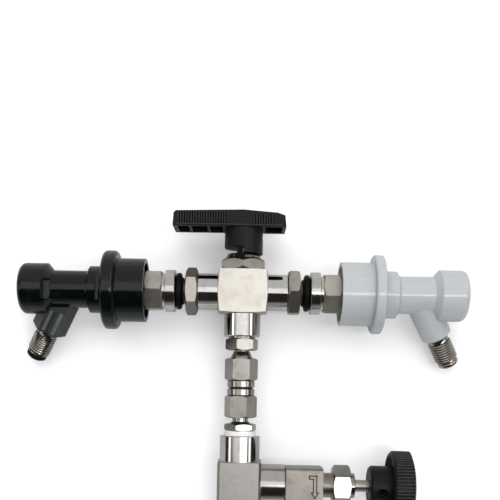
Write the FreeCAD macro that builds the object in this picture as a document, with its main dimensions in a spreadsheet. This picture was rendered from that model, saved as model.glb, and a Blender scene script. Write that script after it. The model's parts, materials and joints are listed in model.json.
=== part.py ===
import FreeCAD, Part
import math
import os
import Sketcher

# Counter-pressure bottle filler, in millimetres.
# +X points to the grey gas disconnect, +Z up to the T-handle, and the viewer stands at -Y.
# The origin is on the filling tube's axis, where the bottle's lip meets the rubber stopper.

doc = FreeCAD.newDocument("bottle_filler")
sheet = doc.addObject("Spreadsheet::Sheet", "Sheet")

# Driving sizes
sizes = {
    # filling end
    "stopperBelow": 15.0, "stopperAbove": 11.0, "stopperTopRadius": 14.5, "stopperTaper": 2.6,
    "sleeveRadius": 4.75, "sleeveWall": 0.9, "sleeveBelow": 3.0,
    "tubeRadius": 3.175, "tubeWall": 0.5, "tubeBelow": 215.0,
    "glandBottom": 21.0, "glandNutLength": 12.0, "glandNutFlats": 16.0,
    "glandHexLength": 6.0, "glandHexFlats": 15.9,
    # tee
    "teeWidth": 20.8, "teeHeight": 21.6, "teeStubRadius": 9.6, "teeStubLength": 12.1,
    "teeBranchLength": 11.3,
    # check valve chain
    "tapeLength": 2.6, "tapeRadius": 7.9, "lowerHexLength": 3.4, "chainHexFlats": 13.8,
    "lowerNeckLength": 2.9, "neckRadius": 3.9, "neckFlare": 1.5, "checkHexLength": 10.6,
    "checkRingRadius": 6.6, "checkRingLength": 3.45, "ringGap": 0.5, "upperNeckLength": 3.8,
    "upperHexLength": 5.6, "threadShow": 0.9,
    # three-way ball valve
    "stubRadius": 8.65, "stubReach": 21.6, "bottomStubReach": 21.4, "blockWidth": 23.6,
    "blockHeight": 20.6, "blockRise": 10.1, "blockCorner": 9.3, "ballRadius": 6.6,
    "flowRadius": 2.6, "valveStemRadius": 2.9,
    "packingNutFlats": 20.3, "packingNutLength": 7.8, "packingHexLength": 5.6,
    # T-handle
    "hubRadius": 9.15, "hubBottom": 18.1, "barBottom": 29.9, "barTop": 37.7, "barDepth": 18.8,
    "longArm": 33.6, "shortArm": 19.9, "barWall": 1.6, "stopTravel": 2.9,
    # side adapters and posts
    "adapterFlats": 19.9, "adapterHexLength": 5.6, "spigotRadius": 5.55, "spigotLength": 15.0,
    "ringSeal": 4.0, "ringGapToSeal": 0.9, "postRingRadius": 10.05, "postRingLength": 4.9,
    "postGrooveLength": 1.4, "postGrooveRadius": 8.2, "postFlats": 17.7, "postHexLength": 8.4,
    "barrelRadius": 7.9, "barrelLength": 19.0, "barrelWall": 1.9, "lockGrooveDepth": 1.1,
    # ball-lock disconnects
    "neckOuter": 8.9, "shoulderRadius": 11.2, "shoulderLength": 8.1, "neckLength": 16.4,
    "capRadius": 12.2, "capLength": 15.6, "capTaper": 2.6, "capRounding": 3.0,
    "flangeRadius": 18.8, "blackFlange": 6.8, "greyFlange": 4.8, "blackRounding": 2.0,
    "greyRounding": 1.0, "skirtRadius": 15.15,
    "collarLength": 20.0, "collarTravel": 3.6, "lockBallRadius": 1.6,
    "portLean": 28.0, "portTurn": 24.0, "portAlong": 37.9, "portLength": 23.2,
    "portFlats": 14.9, "portGroove": 2.1, "portRadius": 7.3, "flareRadius": 5.55, "flareLength": 14.5,
    "flareTipLength": 2.4, "flareTipRadius": 4.95,
    # needle valve
    "needleGap": 0.6, "needleBlockWidth": 17.6, "needleBlockSize": 17.2, "needleDrop": 12.0,
    "needleOutletRadius": 8.0, "outletBore": 5.7, "needleNeckRadius": 6.0,
    "needleNeckLength": 5.0, "needleNutFlats": 17.2, "needleNutLength": 8.4,
    "needleRingLength": 2.2, "needleStemRadius": 2.9, "needleStemShow": 7.0,
    "knobHubRadius": 9.85, "knobHubLength": 10.0, "knobRadius": 16.9, "knobLength": 10.2,
    # fits
    "slack": 0.3, "running": 0.06, "threadSlack": 0.05,
}
for row, (alias, value) in enumerate(sizes.items(), start=1):
    cell = f"A{row}"
    sheet.set(cell, str(value))
    sheet.setAlias(cell, alias)
doc.recompute()


class Size:
    """A length with its present value and its formula in the sheet's names."""

    def __init__(self, value, formula=None):
        self.value = value
        self.formula = formula or repr(value)

    def join(self, other, sign, value):
        return Size(value, f"({self.formula} {sign} {other.formula})")

    def __add__(self, other):
        other = asSize(other)
        return self.join(other, "+", self.value + other.value)

    def __sub__(self, other):
        other = asSize(other)
        return self.join(other, "-", self.value - other.value)

    def __mul__(self, other):
        other = asSize(other)
        return self.join(other, "*", self.value * other.value)

    def __truediv__(self, other):
        other = asSize(other)
        return self.join(other, "/", self.value / other.value)

    def __radd__(self, other):
        return asSize(other) + self

    def __rsub__(self, other):
        return asSize(other) - self

    def __rmul__(self, other):
        return asSize(other) * self

    def __neg__(self):
        return asSize(0.0) - self


def asSize(number):
    return number if isinstance(number, Size) else Size(float(number))


def get(alias):
    return Size(float(sheet.get(alias)), f"Sheet.{alias}")


def sine(angle):
    return Size(math.sin(math.radians(angle.value)), f"sin({angle.formula} * 1 deg)")


def cosine(angle):
    return Size(math.cos(math.radians(angle.value)), f"cos({angle.formula} * 1 deg)")


halfHex = math.tan(math.radians(30))
bodies = []


# Building blocks

def newBody(label):
    body = doc.addObject("PartDesign::Body", label)
    body.Label = label
    bodies.append(body)
    return body


def newSketch(body, role, offset=None, tilt=None):
    """A sketch on one of the body's own planes, offset along its normal or tilted about Y."""
    sketch = body.newObject("Sketcher::SketchObject", f"{body.Name}_sketch")
    support = [f for f in body.Origin.OriginFeatures if f.Role == role][0]
    sketch.AttachmentSupport = [(support, "")]
    sketch.MapMode = "FlatFace"
    if tilt is not None:
        turn = FreeCAD.Rotation(FreeCAD.Vector(0, 1, 0), tilt.value)
        sketch.AttachmentOffset = FreeCAD.Placement(FreeCAD.Vector(), turn)
        sketch.setExpression("AttachmentOffset.Rotation.Angle", tilt.formula)
    if offset is not None:
        for name, amount in offset.items():
            sketch.setExpression(f"AttachmentOffset.Base.{name}", amount.formula)
    return sketch


def pin(sketch, geometry, point, u, v):
    """Ties one point of the sketch to its distances from the sketch's axes."""
    for kind, amount, axis in (("DistanceX", u, -2), ("DistanceY", v, -1)):
        amount = asSize(amount)
        if abs(amount.value) < 1e-9 and "Sheet" not in amount.formula:
            sketch.addConstraint(Sketcher.Constraint("PointOnObject", geometry, point, axis))
            continue
        place = sketch.addConstraint(
            Sketcher.Constraint(kind, -1, 1, geometry, point, amount.value))
        sketch.setExpression(f"Constraints[{place}]", amount.formula)


def drawOutline(sketch, points):
    """A closed outline of straight lines through the points."""
    points = [(asSize(u), asSize(v)) for u, v in points]
    lines = []
    for number, (u, v) in enumerate(points):
        far = points[(number + 1) % len(points)]
        start = FreeCAD.Vector(u.value, v.value, 0)
        end = FreeCAD.Vector(far[0].value, far[1].value, 0)
        lines.append(sketch.addGeometry(Part.LineSegment(start, end), False))
    for number, line in enumerate(lines):
        follower = lines[(number + 1) % len(lines)]
        sketch.addConstraint(Sketcher.Constraint("Coincident", line, 2, follower, 1))
    for line, (u, v) in zip(lines, points):
        pin(sketch, line, 1, u, v)


def drawCircle(sketch, radius, u=0.0, v=0.0):
    radius, u, v = asSize(radius), asSize(u), asSize(v)
    centre = FreeCAD.Vector(u.value, v.value, 0)
    circle = sketch.addGeometry(
        Part.Circle(centre, FreeCAD.Vector(0, 0, 1), radius.value), False)
    place = sketch.addConstraint(Sketcher.Constraint("Radius", circle, radius.value))
    sketch.setExpression(f"Constraints[{place}]", radius.formula)
    pin(sketch, circle, 3, u, v)


def turn(body, axis, points, cut=False):
    """Turns an outline of (distance along the axis, radius) points on a lathe."""
    sketch = newSketch(body, "XZ_Plane")
    upright = axis == "Z"
    drawOutline(sketch, [(r, a) if upright else (a, r) for a, r in points])
    kind = "PartDesign::Groove" if cut else "PartDesign::Revolution"
    feature = body.newObject(kind, f"{body.Name}_turn")
    feature.Profile = sketch
    feature.ReferenceAxis = (sketch, ["V_Axis" if upright else "H_Axis"])
    feature.Angle = 360
    return feature


def extrude(body, sketch, length, cut=False, middle=False, flip=False):
    kind = "PartDesign::Pocket" if cut else "PartDesign::Pad"
    feature = body.newObject(kind, f"{body.Name}_run")
    feature.Profile = sketch
    feature.setExpression("Length", asSize(length).formula)
    if middle:
        feature.Midplane = True
    feature.Reversed = flip
    return feature


def drawHexagon(sketch, flats, vertexUp=False):
    flats = asSize(flats)
    half = flats / 2
    side = flats * (halfHex / 2)
    point = flats * halfHex
    corners = [(half, -side), (half, side), (0, point), (-half, side), (-half, -side), (0, -point)]
    if vertexUp:
        corners = [(v, u) for u, v in corners]
    drawOutline(sketch, corners)


def hexPrism(body, axis, start, length, flats, vertexUp=False, depth=None, domed=0.0):
    """A hexagon bar with both ends' corners turned off, the far end more so if domed."""
    role = "XY_Plane" if axis == "Z" else "YZ_Plane"
    sketch = newSketch(body, role, {"z": asSize(start)})
    drawHexagon(sketch, flats, vertexUp)
    extrude(body, sketch, length)
    flats, start, length = asSize(flats), asSize(start), asSize(length)
    inner = flats / 2
    outer = flats * (halfHex * 1.02)
    drop = flats * 0.055 if depth is None else depth
    for edge, way, lower in ((start, 1, 0.1), (start + length, -1, 0.1 + domed)):
        turn(body, axis, [(edge - way * 0.5, inner - lower), (edge - way * 0.5, outer),
                          (edge + way * (drop + lower - 0.1), outer), (edge, inner - lower)],
             cut=True)


def tubeOf(body, axis, start, end, outer, inner):
    turn(body, axis, [(start, inner), (start, outer), (end, outer), (end, inner)])


def place(body, x=0.0, y=0.0, z=0.0, rotation=None):
    if rotation is not None:
        body.Placement = FreeCAD.Placement(FreeCAD.Vector(), rotation)
    for name, amount in (("x", x), ("y", y), ("z", z)):
        amount = asSize(amount)
        if "Sheet" in amount.formula:
            body.setExpression(f"Placement.Base.{name}", amount.formula)


def roundEdges(body, radius, wanted):
    """Rounds the edges for which wanted(edge) is true."""
    doc.recompute()
    before = body.Tip
    edges = enumerate(before.Shape.Edges, start=1)
    names = [f"Edge{n}" for n, edge in edges if wanted(edge)]
    fillet = body.newObject("PartDesign::Fillet", f"{body.Name}_round")
    fillet.Base = (before, names)
    fillet.setExpression("Radius", asSize(radius).formula)
    return fillet


def ringEdge(axis, along, radius):
    """Picks the circular edge of that radius about the X or Z axis at that distance."""
    def wanted(edge):
        curve = edge.Curve
        if not isinstance(curve, Part.Circle):
            return False
        place_on = curve.Center.x if axis == "X" else curve.Center.z
        return abs(curve.Radius - radius.value) < 0.01 and abs(place_on - along.value) < 0.01
    return wanted


def together(label, parts):
    """Identical loose pieces share one node."""
    group = doc.addObject("Part::Compound", label)
    group.Label = label
    group.Links = parts
    for part in parts:
        bodies.remove(part)
    bodies.append(group)


# Levels, from the bottle's lip up
teeBottom = get("glandBottom") + get("glandNutLength") + get("glandHexLength")
teeBottom = teeBottom + get("threadShow") + get("teeStubLength")
teeLevel = teeBottom + get("teeHeight") / 2
teeTop = teeLevel + get("teeHeight") / 2 + get("teeStubLength")
lowerHex = teeTop + get("tapeLength")
lowerNeck = lowerHex + get("lowerHexLength")
outletHex = lowerNeck + get("lowerNeckLength")
outletRing = outletHex + get("checkHexLength")
inletRing = outletRing + get("checkRingLength") + get("ringGap")
inletHex = inletRing + get("checkRingLength")
upperNeck = inletHex + get("checkHexLength")
upperHex = upperNeck + get("upperNeckLength")
stubBottom = upperHex + get("upperHexLength") + get("threadShow")
valveLevel = stubBottom + get("bottomStubReach")

slack = get("slack")
running = get("running")
threadSlack = get("threadSlack")
flow = get("flowRadius")
tubeRadius = get("tubeRadius")
tubeClear = tubeRadius + slack


# Filling end: stopper, sleeve, filling tube and gland

def makeStopper():
    top, bottom = get("stopperAbove"), -get("stopperBelow")
    wide = get("stopperTopRadius")
    narrow = wide - get("stopperTaper")
    inner = get("sleeveRadius") + threadSlack
    body = newBody("bottle_stopper")
    turn(body, "Z", [(bottom, inner), (bottom, narrow - 0.8), (bottom + 0.8, narrow),
                     (top - 1.0, wide), (top, wide - 1.0), (top, inner)])


def makeSleeve():
    outer = get("sleeveRadius")
    body = newBody("stopper_sleeve")
    tubeOf(body, "Z", -get("stopperBelow") - get("sleeveBelow"), sleeveTop, outer,
           outer - get("sleeveWall"))


def makeFillingTube():
    inner = tubeRadius - get("tubeWall")
    bottom = -get("tubeBelow")
    body = newBody("filling_tube")
    tubeOf(body, "Z", bottom, tubeTop, tubeRadius, inner)


def makeGland():
    bottom = get("glandBottom")
    nutLength = get("glandNutLength")
    hexStart = bottom + nutLength
    sleeve = get("sleeveRadius")
    nutThread = get("glandNutFlats") * 0.4
    nut = newBody("gland_nut")
    hexPrism(nut, "Z", bottom, nutLength, get("glandNutFlats"))
    turn(nut, "Z", [(bottom - 1, 0), (bottom - 1, sleeve + slack), (bottom + 3, sleeve + slack),
                    (bottom + 3, nutThread + threadSlack),
                    (hexStart + 1, nutThread + threadSlack), (hexStart + 1, 0)], cut=True)
    ferrule = newBody("gland_ferrule")
    turn(ferrule, "Z", [(bottom + 3, sleeve + threadSlack), (bottom + 3, nutThread - 0.2),
                        (bottom + 5.4, nutThread - 0.2), (bottom + 7.4, sleeve + 0.5),
                        (bottom + 7.4, sleeve + threadSlack)])
    fitting = newBody("gland_fitting")
    length = get("glandHexLength")
    hexPrism(fitting, "Z", hexStart, length, get("glandHexFlats"))
    turn(fitting, "Z", [(bottom + 7.6, sleeve + threadSlack), (bottom + 7.6, nutThread),
                        (hexStart, nutThread), (hexStart, sleeve + threadSlack)])
    top = hexStart + length
    thread = get("spigotRadius") + 0.9
    turn(fitting, "Z", [(top, sleeve + 0.4), (top, thread), (top + 9.5, thread - 0.25),
                        (top + 9.5, sleeve + 0.4)])
    turn(fitting, "Z", [(hexStart - 1, 0), (hexStart - 1, sleeve + threadSlack),
                        (sleeveTop, sleeve + threadSlack), (sleeveTop, tubeRadius + 0.8),
                        (top + 10, tubeRadius + 0.8), (top + 10, 0)], cut=True)


# Tee with three female stubs

def makeTee():
    width, height = get("teeWidth"), get("teeHeight")
    radius, stub = get("teeStubRadius"), get("teeStubLength")
    reach = width / 2 + get("teeBranchLength")
    body = newBody("tee_body")
    sketch = newSketch(body, "XY_Plane", {"z": -height / 2})
    half, nick = width / 2, 1.2
    drawOutline(sketch, [(half - nick, -half), (half, -half + nick), (half, half - nick),
                         (half - nick, half), (-half + nick, half), (-half, half - nick),
                         (-half, -half + nick), (-half + nick, -half)])
    extrude(body, sketch, height)
    turn(body, "Z", [(-height / 2 - stub, 0), (-height / 2 - stub, radius),
                     (height / 2 + stub, radius), (height / 2 + stub, 0)])
    turn(body, "X", [(0, 0), (0, radius), (reach, radius), (reach, 0)])
    portThread = get("spigotRadius") + 0.95
    for way in (1, -1):
        face = way * (height / 2 + stub)
        turn(body, "Z", [(face + way * 1.0, 0), (face + way * 1.0, portThread),
                         (face - way * 10.5, portThread), (face - way * 10.5, 0)], cut=True)
    turn(body, "Z", [(-height, 0), (-height, tubeRadius + 0.8), (height, tubeRadius + 0.8),
                     (height, 0)], cut=True)
    turn(body, "X", [(reach + 1, 0), (reach + 1, portThread), (reach - 10.5, portThread),
                     (reach - 10.5, flow), (0.5, flow), (0.5, 0)], cut=True)
    place(body, z=teeLevel)


# Check valve chain between the tee and the ball valve

def makeLowerAdapter():
    thread = get("spigotRadius") + 0.9
    neck = get("neckRadius")
    flats = get("chainHexFlats")
    low = teeTop - 9.5
    body = newBody("lower_adapter")
    turn(body, "Z", [(low, tubeClear), (low, thread - 0.3), (teeTop, thread), (lowerHex, thread),
                     (lowerHex + 0.2, neck), (lowerNeck, neck + get("neckFlare")),
                     (lowerNeck + 1.0, neck), (outletHex + 4.0, neck),
                     (outletHex + 4.0, flow), (teeTop + 2, flow), (teeTop + 2, tubeClear)])
    hexPrism(body, "Z", lowerHex, get("lowerHexLength"), flats, vertexUp=True)
    turn(body, "Z", [(low - 1, 0), (low - 1, tubeRadius + threadSlack),
                     (teeTop + 2, tubeRadius + threadSlack), (teeTop + 2, flow),
                     (outletHex + 5, flow), (outletHex + 5, 0)], cut=True)
    place(body, rotation=FreeCAD.Rotation(FreeCAD.Vector(0, 0, 1), 15))
    tape = newBody("thread_tape")
    outer = get("tapeRadius")
    inner = thread + threadSlack
    low, high = teeTop + 0.1, lowerHex - 0.1
    turn(tape, "Z", [(low, inner), (low, outer - 0.5), (low + 0.5, outer - 0.1),
                     (high - 0.8, outer), (high, outer - 0.7), (high, inner)])


def makeCheckHalf(label, hexStart, ringStart, poppetSide, hexTurn):
    """One screwed half of the check valve: a hexagon with a collar towards the joint."""
    body = newBody(label)
    hexLength = get("checkHexLength")
    ringLength = get("checkRingLength")
    radius = get("checkRingRadius")
    neck = get("neckRadius") + threadSlack
    hexPrism(body, "Z", hexStart, hexLength, get("chainHexFlats"), vertexUp=True)
    place(body, rotation=FreeCAD.Rotation(FreeCAD.Vector(0, 0, 1), hexTurn))
    turn(body, "Z", [(ringStart, 0), (ringStart, radius - 0.4), (ringStart + 0.4, radius),
                     (ringStart + ringLength - 0.4, radius),
                     (ringStart + ringLength, radius - 0.4), (ringStart + ringLength, 0)])
    far = hexStart if poppetSide > 0 else hexStart + hexLength
    turn(body, "Z", [(far - poppetSide, 0), (far - poppetSide, neck),
                     (far + 4.2 * poppetSide, neck), (far + 4.2 * poppetSide, 0)], cut=True)
    return body


def makeCheckValve():
    joint = outletRing + get("checkRingLength")
    chamber = get("neckRadius") + 0.6
    hexLength = get("checkHexLength")
    outlet = makeCheckHalf("check_valve_outlet", outletHex, outletRing, 1, -10.5)
    turn(outlet, "Z", [(joint + 1, 0), (joint + 1, chamber), (outletHex + 6.2, chamber),
                       (outletHex + 6.2, flow), (outletHex, flow), (outletHex, 0)], cut=True)
    inlet = makeCheckHalf("check_valve_inlet", inletHex, inletRing, -1, 0.0)
    spigot = chamber - threadSlack
    turn(inlet, "Z", [(joint - 2.4, flow), (joint - 2.4, spigot), (inletRing + 0.5, spigot),
                      (inletRing + 0.5, flow)])
    seat = inletRing + 2.6
    top = inletHex + hexLength - 4.2
    turn(inlet, "Z", [(joint - 3, 0), (joint - 3, chamber - 0.9), (seat, chamber - 0.9),
                      (seat + 0.9, flow), (top + 1, flow), (top + 1, 0)], cut=True)
    ring = newBody("check_valve_seal")
    tubeOf(ring, "Z", joint + 0.05, inletRing - 0.05, get("checkRingRadius") - 0.9,
           chamber + threadSlack)
    poppet = newBody("check_poppet")
    turn(poppet, "Z", [(seat - 5.0, 0), (seat - 5.0, 0.9), (seat - 1.6, 0.9),
                       (seat - 1.6, chamber - 1.3), (seat - 0.5, chamber - 1.3),
                       (seat + 0.35, flow - 0.35), (seat + 0.35, 0)])
    spring = newBody("check_spring")
    tubeOf(spring, "Z", outletHex + 6.3, seat - 1.65, 2.1, 1.3)


def makeUpperAdapter():
    thread = get("spigotRadius") + 0.9
    neck = get("neckRadius")
    body = newBody("upper_adapter")
    top = upperHex + get("upperHexLength")
    turn(body, "Z", [(upperNeck - 4.0, 0), (upperNeck - 4.0, neck), (upperNeck, neck),
                     (upperNeck, neck + get("neckFlare")), (upperHex - 0.6, neck - 0.1),
                     (upperHex, neck - 0.1), (upperHex, thread), (top + 9.8, thread - 0.3),
                     (top + 9.8, 0)])
    hexPrism(body, "Z", upperHex, get("upperHexLength"), get("chainHexFlats"), vertexUp=True)
    place(body, rotation=FreeCAD.Rotation(FreeCAD.Vector(0, 0, 1), 13))
    turn(body, "Z", [(upperNeck - 5, 0), (upperNeck - 5, flow), (top + 11, flow),
                     (top + 11, 0)], cut=True)


# Three-way ball valve, modelled about the ball's centre

def makeValveBody():
    width, height, rise = get("blockWidth"), get("blockHeight"), get("blockRise")
    half = height / 2
    body = newBody("valve_body")
    sketch = newSketch(body, "YZ_Plane", {"z": -width / 2})
    low = rise - height
    drawOutline(sketch, [(-half, low), (half, low), (half, rise), (-half, rise)])
    extrude(body, sketch, width)
    corner = get("blockCorner")
    for way in (1, -1):
        edge = way * width / 2
        turn(body, "X", [(edge, corner), (edge + way, corner), (edge + way, corner * 2),
                         (edge - way * corner * 0.2, corner * 2)], cut=True)
    turn(body, "Z", [(low, corner), (low - 1, corner), (low - 1, corner * 2),
                     (low + corner * 0.14, corner * 2)], cut=True)
    chamber = get("ballRadius") + 0.3
    screwIn = get("stubRadius") - 1.2 + threadSlack
    shelf = get("ballRadius") * 0.82
    turn(body, "X", [(-width, 0), (-width, screwIn), (-shelf, screwIn), (-shelf, chamber),
                     (shelf, chamber), (shelf, screwIn), (width, screwIn), (width, 0)], cut=True)
    turn(body, "Z", [(-height, 0), (-height, screwIn), (-shelf, screwIn), (-shelf, chamber),
                     (shelf, chamber), (shelf, 0)], cut=True)
    stem = get("valveStemRadius") + running
    turn(body, "Z", [(0, 0), (0, stem), (rise + 1, stem), (rise + 1, 0)], cut=True)
    tower = get("packingNutFlats") / 2 - 2.4
    top = rise + get("packingNutLength") - 2.6
    turn(body, "Z", [(rise - 0.5, stem + 2.0), (rise - 0.5, tower), (top, tower),
                     (top, stem + 2.0)])
    turn(body, "Z", [(rise - 1.0, 0), (rise - 1.0, stem + 2.0), (rise + 20, stem + 2.0),
                     (rise + 20, 0)], cut=True)
    place(body, z=valveLevel)


def endConnector(label, axis, reach, port):
    """Polished stub screwed into the block, with a female thread outside and a seat pocket."""
    radius = get("stubRadius")
    screwIn = radius - 1.2
    shelf = get("ballRadius") * 0.86
    face = get("blockWidth") / 2 if axis == "X" else get("blockHeight") - get("blockRise")
    body = newBody(label)
    seatOuter = get("ballRadius") * 0.74
    thread = port + 0.05
    way = 1 if axis == "X" else -1
    points = [(shelf, seatOuter + threadSlack), (shelf, shelf - 0.25),
              (screwIn + 0.3, screwIn), (face, screwIn),
              (face, radius), (reach - 0.4, radius), (reach, radius - 0.4), (reach, thread),
              (reach - 9.9, thread), (reach - 9.9, flow), (shelf + 2.1, flow),
              (shelf + 2.1, seatOuter + threadSlack)]
    turn(body, axis, [(way * a, r) for a, r in points])
    return body


def ballSeat(body, axis, way):
    shelf = get("ballRadius") * 0.86
    ball = get("ballRadius")
    outer = ball * 0.74
    lip = ball * 0.5
    turn(body, axis, [(way * (shelf + 2.05), flow + 0.2), (way * (shelf + 2.05), outer),
                      (way * (shelf + 0.05), outer), (way * (shelf + 0.35), lip),
                      (way * (shelf + 0.35), flow + 0.2)])


def makeBallValve():
    makeValveBody()
    port = get("spigotRadius") + 0.9
    for label, turned in (("right_end_connector", 0), ("left_end_connector", 180)):
        body = endConnector(label, "X", get("stubReach"), port)
        place(body, z=valveLevel, rotation=FreeCAD.Rotation(FreeCAD.Vector(0, 0, 1), turned))
        seat = newBody(label.replace("end_connector", "ball_seat"))
        ballSeat(seat, "X", 1)
        place(seat, z=valveLevel, rotation=FreeCAD.Rotation(FreeCAD.Vector(0, 0, 1), turned))
    body = endConnector("bottom_end_connector", "Z", get("bottomStubReach"), port)
    place(body, z=valveLevel)
    seat = newBody("bottom_ball_seat")
    ballSeat(seat, "Z", -1)
    place(seat, z=valveLevel)

    ball = newBody("valve_ball")
    radius = get("ballRadius")
    sketch = newSketch(ball, "XZ_Plane")
    arc = Part.ArcOfCircle(Part.Circle(FreeCAD.Vector(), FreeCAD.Vector(0, 0, 1), radius.value),
                           -math.pi / 2, math.pi / 2)
    curve = sketch.addGeometry(arc, False)
    line = sketch.addGeometry(Part.LineSegment(FreeCAD.Vector(0, radius.value, 0),
                                               FreeCAD.Vector(0, -radius.value, 0)), False)
    sketch.addConstraint(Sketcher.Constraint("Coincident", curve, 2, line, 1))
    sketch.addConstraint(Sketcher.Constraint("Coincident", line, 2, curve, 1))
    sketch.addConstraint(Sketcher.Constraint("Coincident", curve, 3, -1, 1))
    sketch.addConstraint(Sketcher.Constraint("PointOnObject", line, 1, -2))
    sketch.addConstraint(Sketcher.Constraint("PointOnObject", line, 2, -2))
    place_of = sketch.addConstraint(Sketcher.Constraint("Radius", curve, radius.value))
    sketch.setExpression(f"Constraints[{place_of}]", radius.formula)
    whole = ball.newObject("PartDesign::Revolution", "ball_turn")
    whole.Profile = sketch
    whole.ReferenceAxis = (sketch, ["V_Axis"])
    whole.Angle = 360
    turn(ball, "X", [(-radius - 1, 0), (-radius - 1, flow), (0, flow), (0, 0)], cut=True)
    turn(ball, "Z", [(-radius - 1, 0), (-radius - 1, flow), (0, flow), (0, 0)], cut=True)
    slot = newSketch(ball, "XY_Plane", {"z": radius - 2.0})
    wide = get("valveStemRadius") - 0.9
    drawOutline(slot, [(-wide, -radius), (wide, -radius), (wide, radius), (-wide, radius)])
    extrude(ball, slot, 3.0, cut=True, flip=True)
    place(ball, z=valveLevel)

    stem = newBody("valve_stem")
    stemRadius = get("valveStemRadius")
    top = get("barBottom") + 1.0
    turn(stem, "Z", [(radius - 0.1, 0), (radius - 0.1, stemRadius), (top, stemRadius), (top, 0)])
    tang = newSketch(stem, "XY_Plane", {"z": radius - 1.9})
    thin, deep = wide - 0.1, stemRadius * 0.8
    drawOutline(tang, [(-thin, -deep), (thin, -deep), (thin, deep), (-thin, deep)])
    extrude(stem, tang, 2.5)
    flat = newSketch(stem, "XY_Plane", {"z": get("hubBottom") + 1.5})
    drawOutline(flat, [(stemRadius - 0.8, -stemRadius - 1), (stemRadius + 2, -stemRadius - 1),
                       (stemRadius + 2, stemRadius + 1), (stemRadius - 0.8, stemRadius + 1)])
    extrude(stem, flat, 20.0, cut=True, flip=True)
    place(stem, z=valveLevel)

    rise = get("blockRise")
    packing = newBody("stem_packing")
    bore = stemRadius + running
    top = rise + get("packingNutLength") - 2.6
    turn(packing, "Z", [(rise - 1.0, bore), (rise - 1.0, bore + 1.9), (top - 0.1, bore + 1.9),
                        (top - 0.1, bore)])
    place(packing, z=valveLevel)
    nut = newBody("packing_nut")
    length = get("packingNutLength")
    hexLength = get("packingHexLength")
    hexPrism(nut, "Z", rise, hexLength, get("packingNutFlats"), depth=1.5, domed=0.7)
    turn(nut, "Z", [(rise + hexLength - 0.5, 0), (rise + hexLength - 0.5, 8.8),
                    (rise + length - 0.4, 7.9), (rise + length, 7.4), (rise + length, 0)])
    tower = get("packingNutFlats") / 2 - 2.4 + threadSlack
    turn(nut, "Z", [(rise - 1, 0), (rise - 1, tower), (top + 0.1, tower),
                    (top + 0.1, stemRadius + slack), (rise + length + 1, stemRadius + slack),
                    (rise + length + 1, 0)], cut=True)
    stopTop = get("hubBottom") + get("stopTravel") - 0.7
    pinAt = get("hubRadius") - 2.6
    post = newSketch(nut, "XY_Plane", {"z": rise + length - 2.0})
    drawOutline(post, [(-3.0, -pinAt - 1.9), (-0.4, -pinAt - 1.9), (-0.4, -pinAt), (-3.0, -pinAt)])
    extrude(nut, post, stopTop - rise - length + 2.0)
    place(nut, z=valveLevel)


# T-handle

def makeHandle():
    body = newBody("t_handle")
    long, short = -get("longArm"), get("shortArm")
    low, high = get("barBottom"), get("barTop")
    half = get("barDepth") / 2
    hub = get("hubRadius")
    stem = get("valveStemRadius")
    sketch = newSketch(body, "XZ_Plane", {"z": -half})
    drawOutline(sketch, [(long, low), (short, low), (short - 0.6, high - 2.4),
                         (short - 4.0, high - 1.2), (0, high), (long + 1.5, high - 0.8),
                         (long + 0.4, high - 1.8)])
    extrude(body, sketch, half * 2)
    drop = get("hubBottom")
    turn(body, "Z", [(drop, 0), (drop, hub), (high - 1.4, hub), (high - 1.4, 0)])
    wall = get("barWall")
    pocket = newSketch(body, "XY_Plane", {"z": low - 0.5})
    inner = half - wall
    ribs = [long + wall, long * 0.76, long * 0.5, -hub - 0.4]
    for near, far in zip(ribs, ribs[1:]):
        drawOutline(pocket, [(near + 0.6, -inner), (far - 0.6, -inner), (far - 0.6, inner),
                             (near + 0.6, inner)])
    drawOutline(pocket, [(hub + 1.0, -inner), (short - wall, -inner), (short - wall, inner),
                         (hub + 1.0, inner)])
    extrude(body, pocket, high - low - 2.6, cut=True, flip=True)
    # the stem's D-shaped hole
    hole = newSketch(body, "XY_Plane", {"z": drop - 0.5})
    drawCircle(hole, stem + threadSlack)
    extrude(body, hole, get("barBottom") + 1.1 - drop + 0.5, cut=True, flip=True)
    # hollow under the hub that clears the packing nut, and the half-turn slot for the stop
    turn(body, "Z", [(drop - 1, 0), (drop - 1, hub - 4.4), (drop + 1.4, hub - 4.4),
                     (drop + 1.4, 0)], cut=True)
    travel = get("stopTravel")
    slot = newSketch(body, "XY_Plane", {"z": drop - 0.5})
    edge = 0.2
    drawOutline(slot, [(edge, -hub - 2), (edge, 0), (3.4, hub * 0.6), (3.4, hub + 2),
                       (-hub - 2, hub + 2), (-hub - 2, -hub - 2)])
    extrude(body, slot, travel + 0.5, cut=True, flip=True)
    place(body, z=valveLevel)
    screw = newBody("handle_set_screw")
    level = drop + 8.0
    body = screw
    flatAt = stem - 0.8
    turn(screw, "X", [(flatAt + 0.02, 0), (flatAt + 0.02, 1.7), (hub - 0.3, 1.7), (hub - 0.3, 0.9),
                      (hub - 2.0, 0.9), (hub - 2.0, 0)])
    place(screw, z=valveLevel + level)
    tapped = bodies[-2]
    cutter = newSketch(tapped, "YZ_Plane", {"z": stem - 1.5})
    drawCircle(cutter, 1.75, 0.0, level)
    extrude(tapped, cutter, hub, cut=True, flip=True)


# Ball-lock posts, modelled outwards along X from the ball valve's axis

def turnedSide(side, swivel=0.0):
    about = FreeCAD.Rotation(FreeCAD.Vector(0, 0, 1), 180 if side == "left" else 0)
    lean = swivel if side == "right" else -swivel
    return about * FreeCAD.Rotation(FreeCAD.Vector(1, 0, 0), lean)


stubReach = get("stubReach")
sealStart = stubReach + get("adapterHexLength") + get("ringGapToSeal")
ringStart = sealStart + get("ringSeal")
grooveStart = ringStart + get("postRingLength")
postHex = grooveStart + get("postGrooveLength")
barrelStart = postHex + get("postHexLength")
barrelEnd = barrelStart + get("barrelLength")


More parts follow.
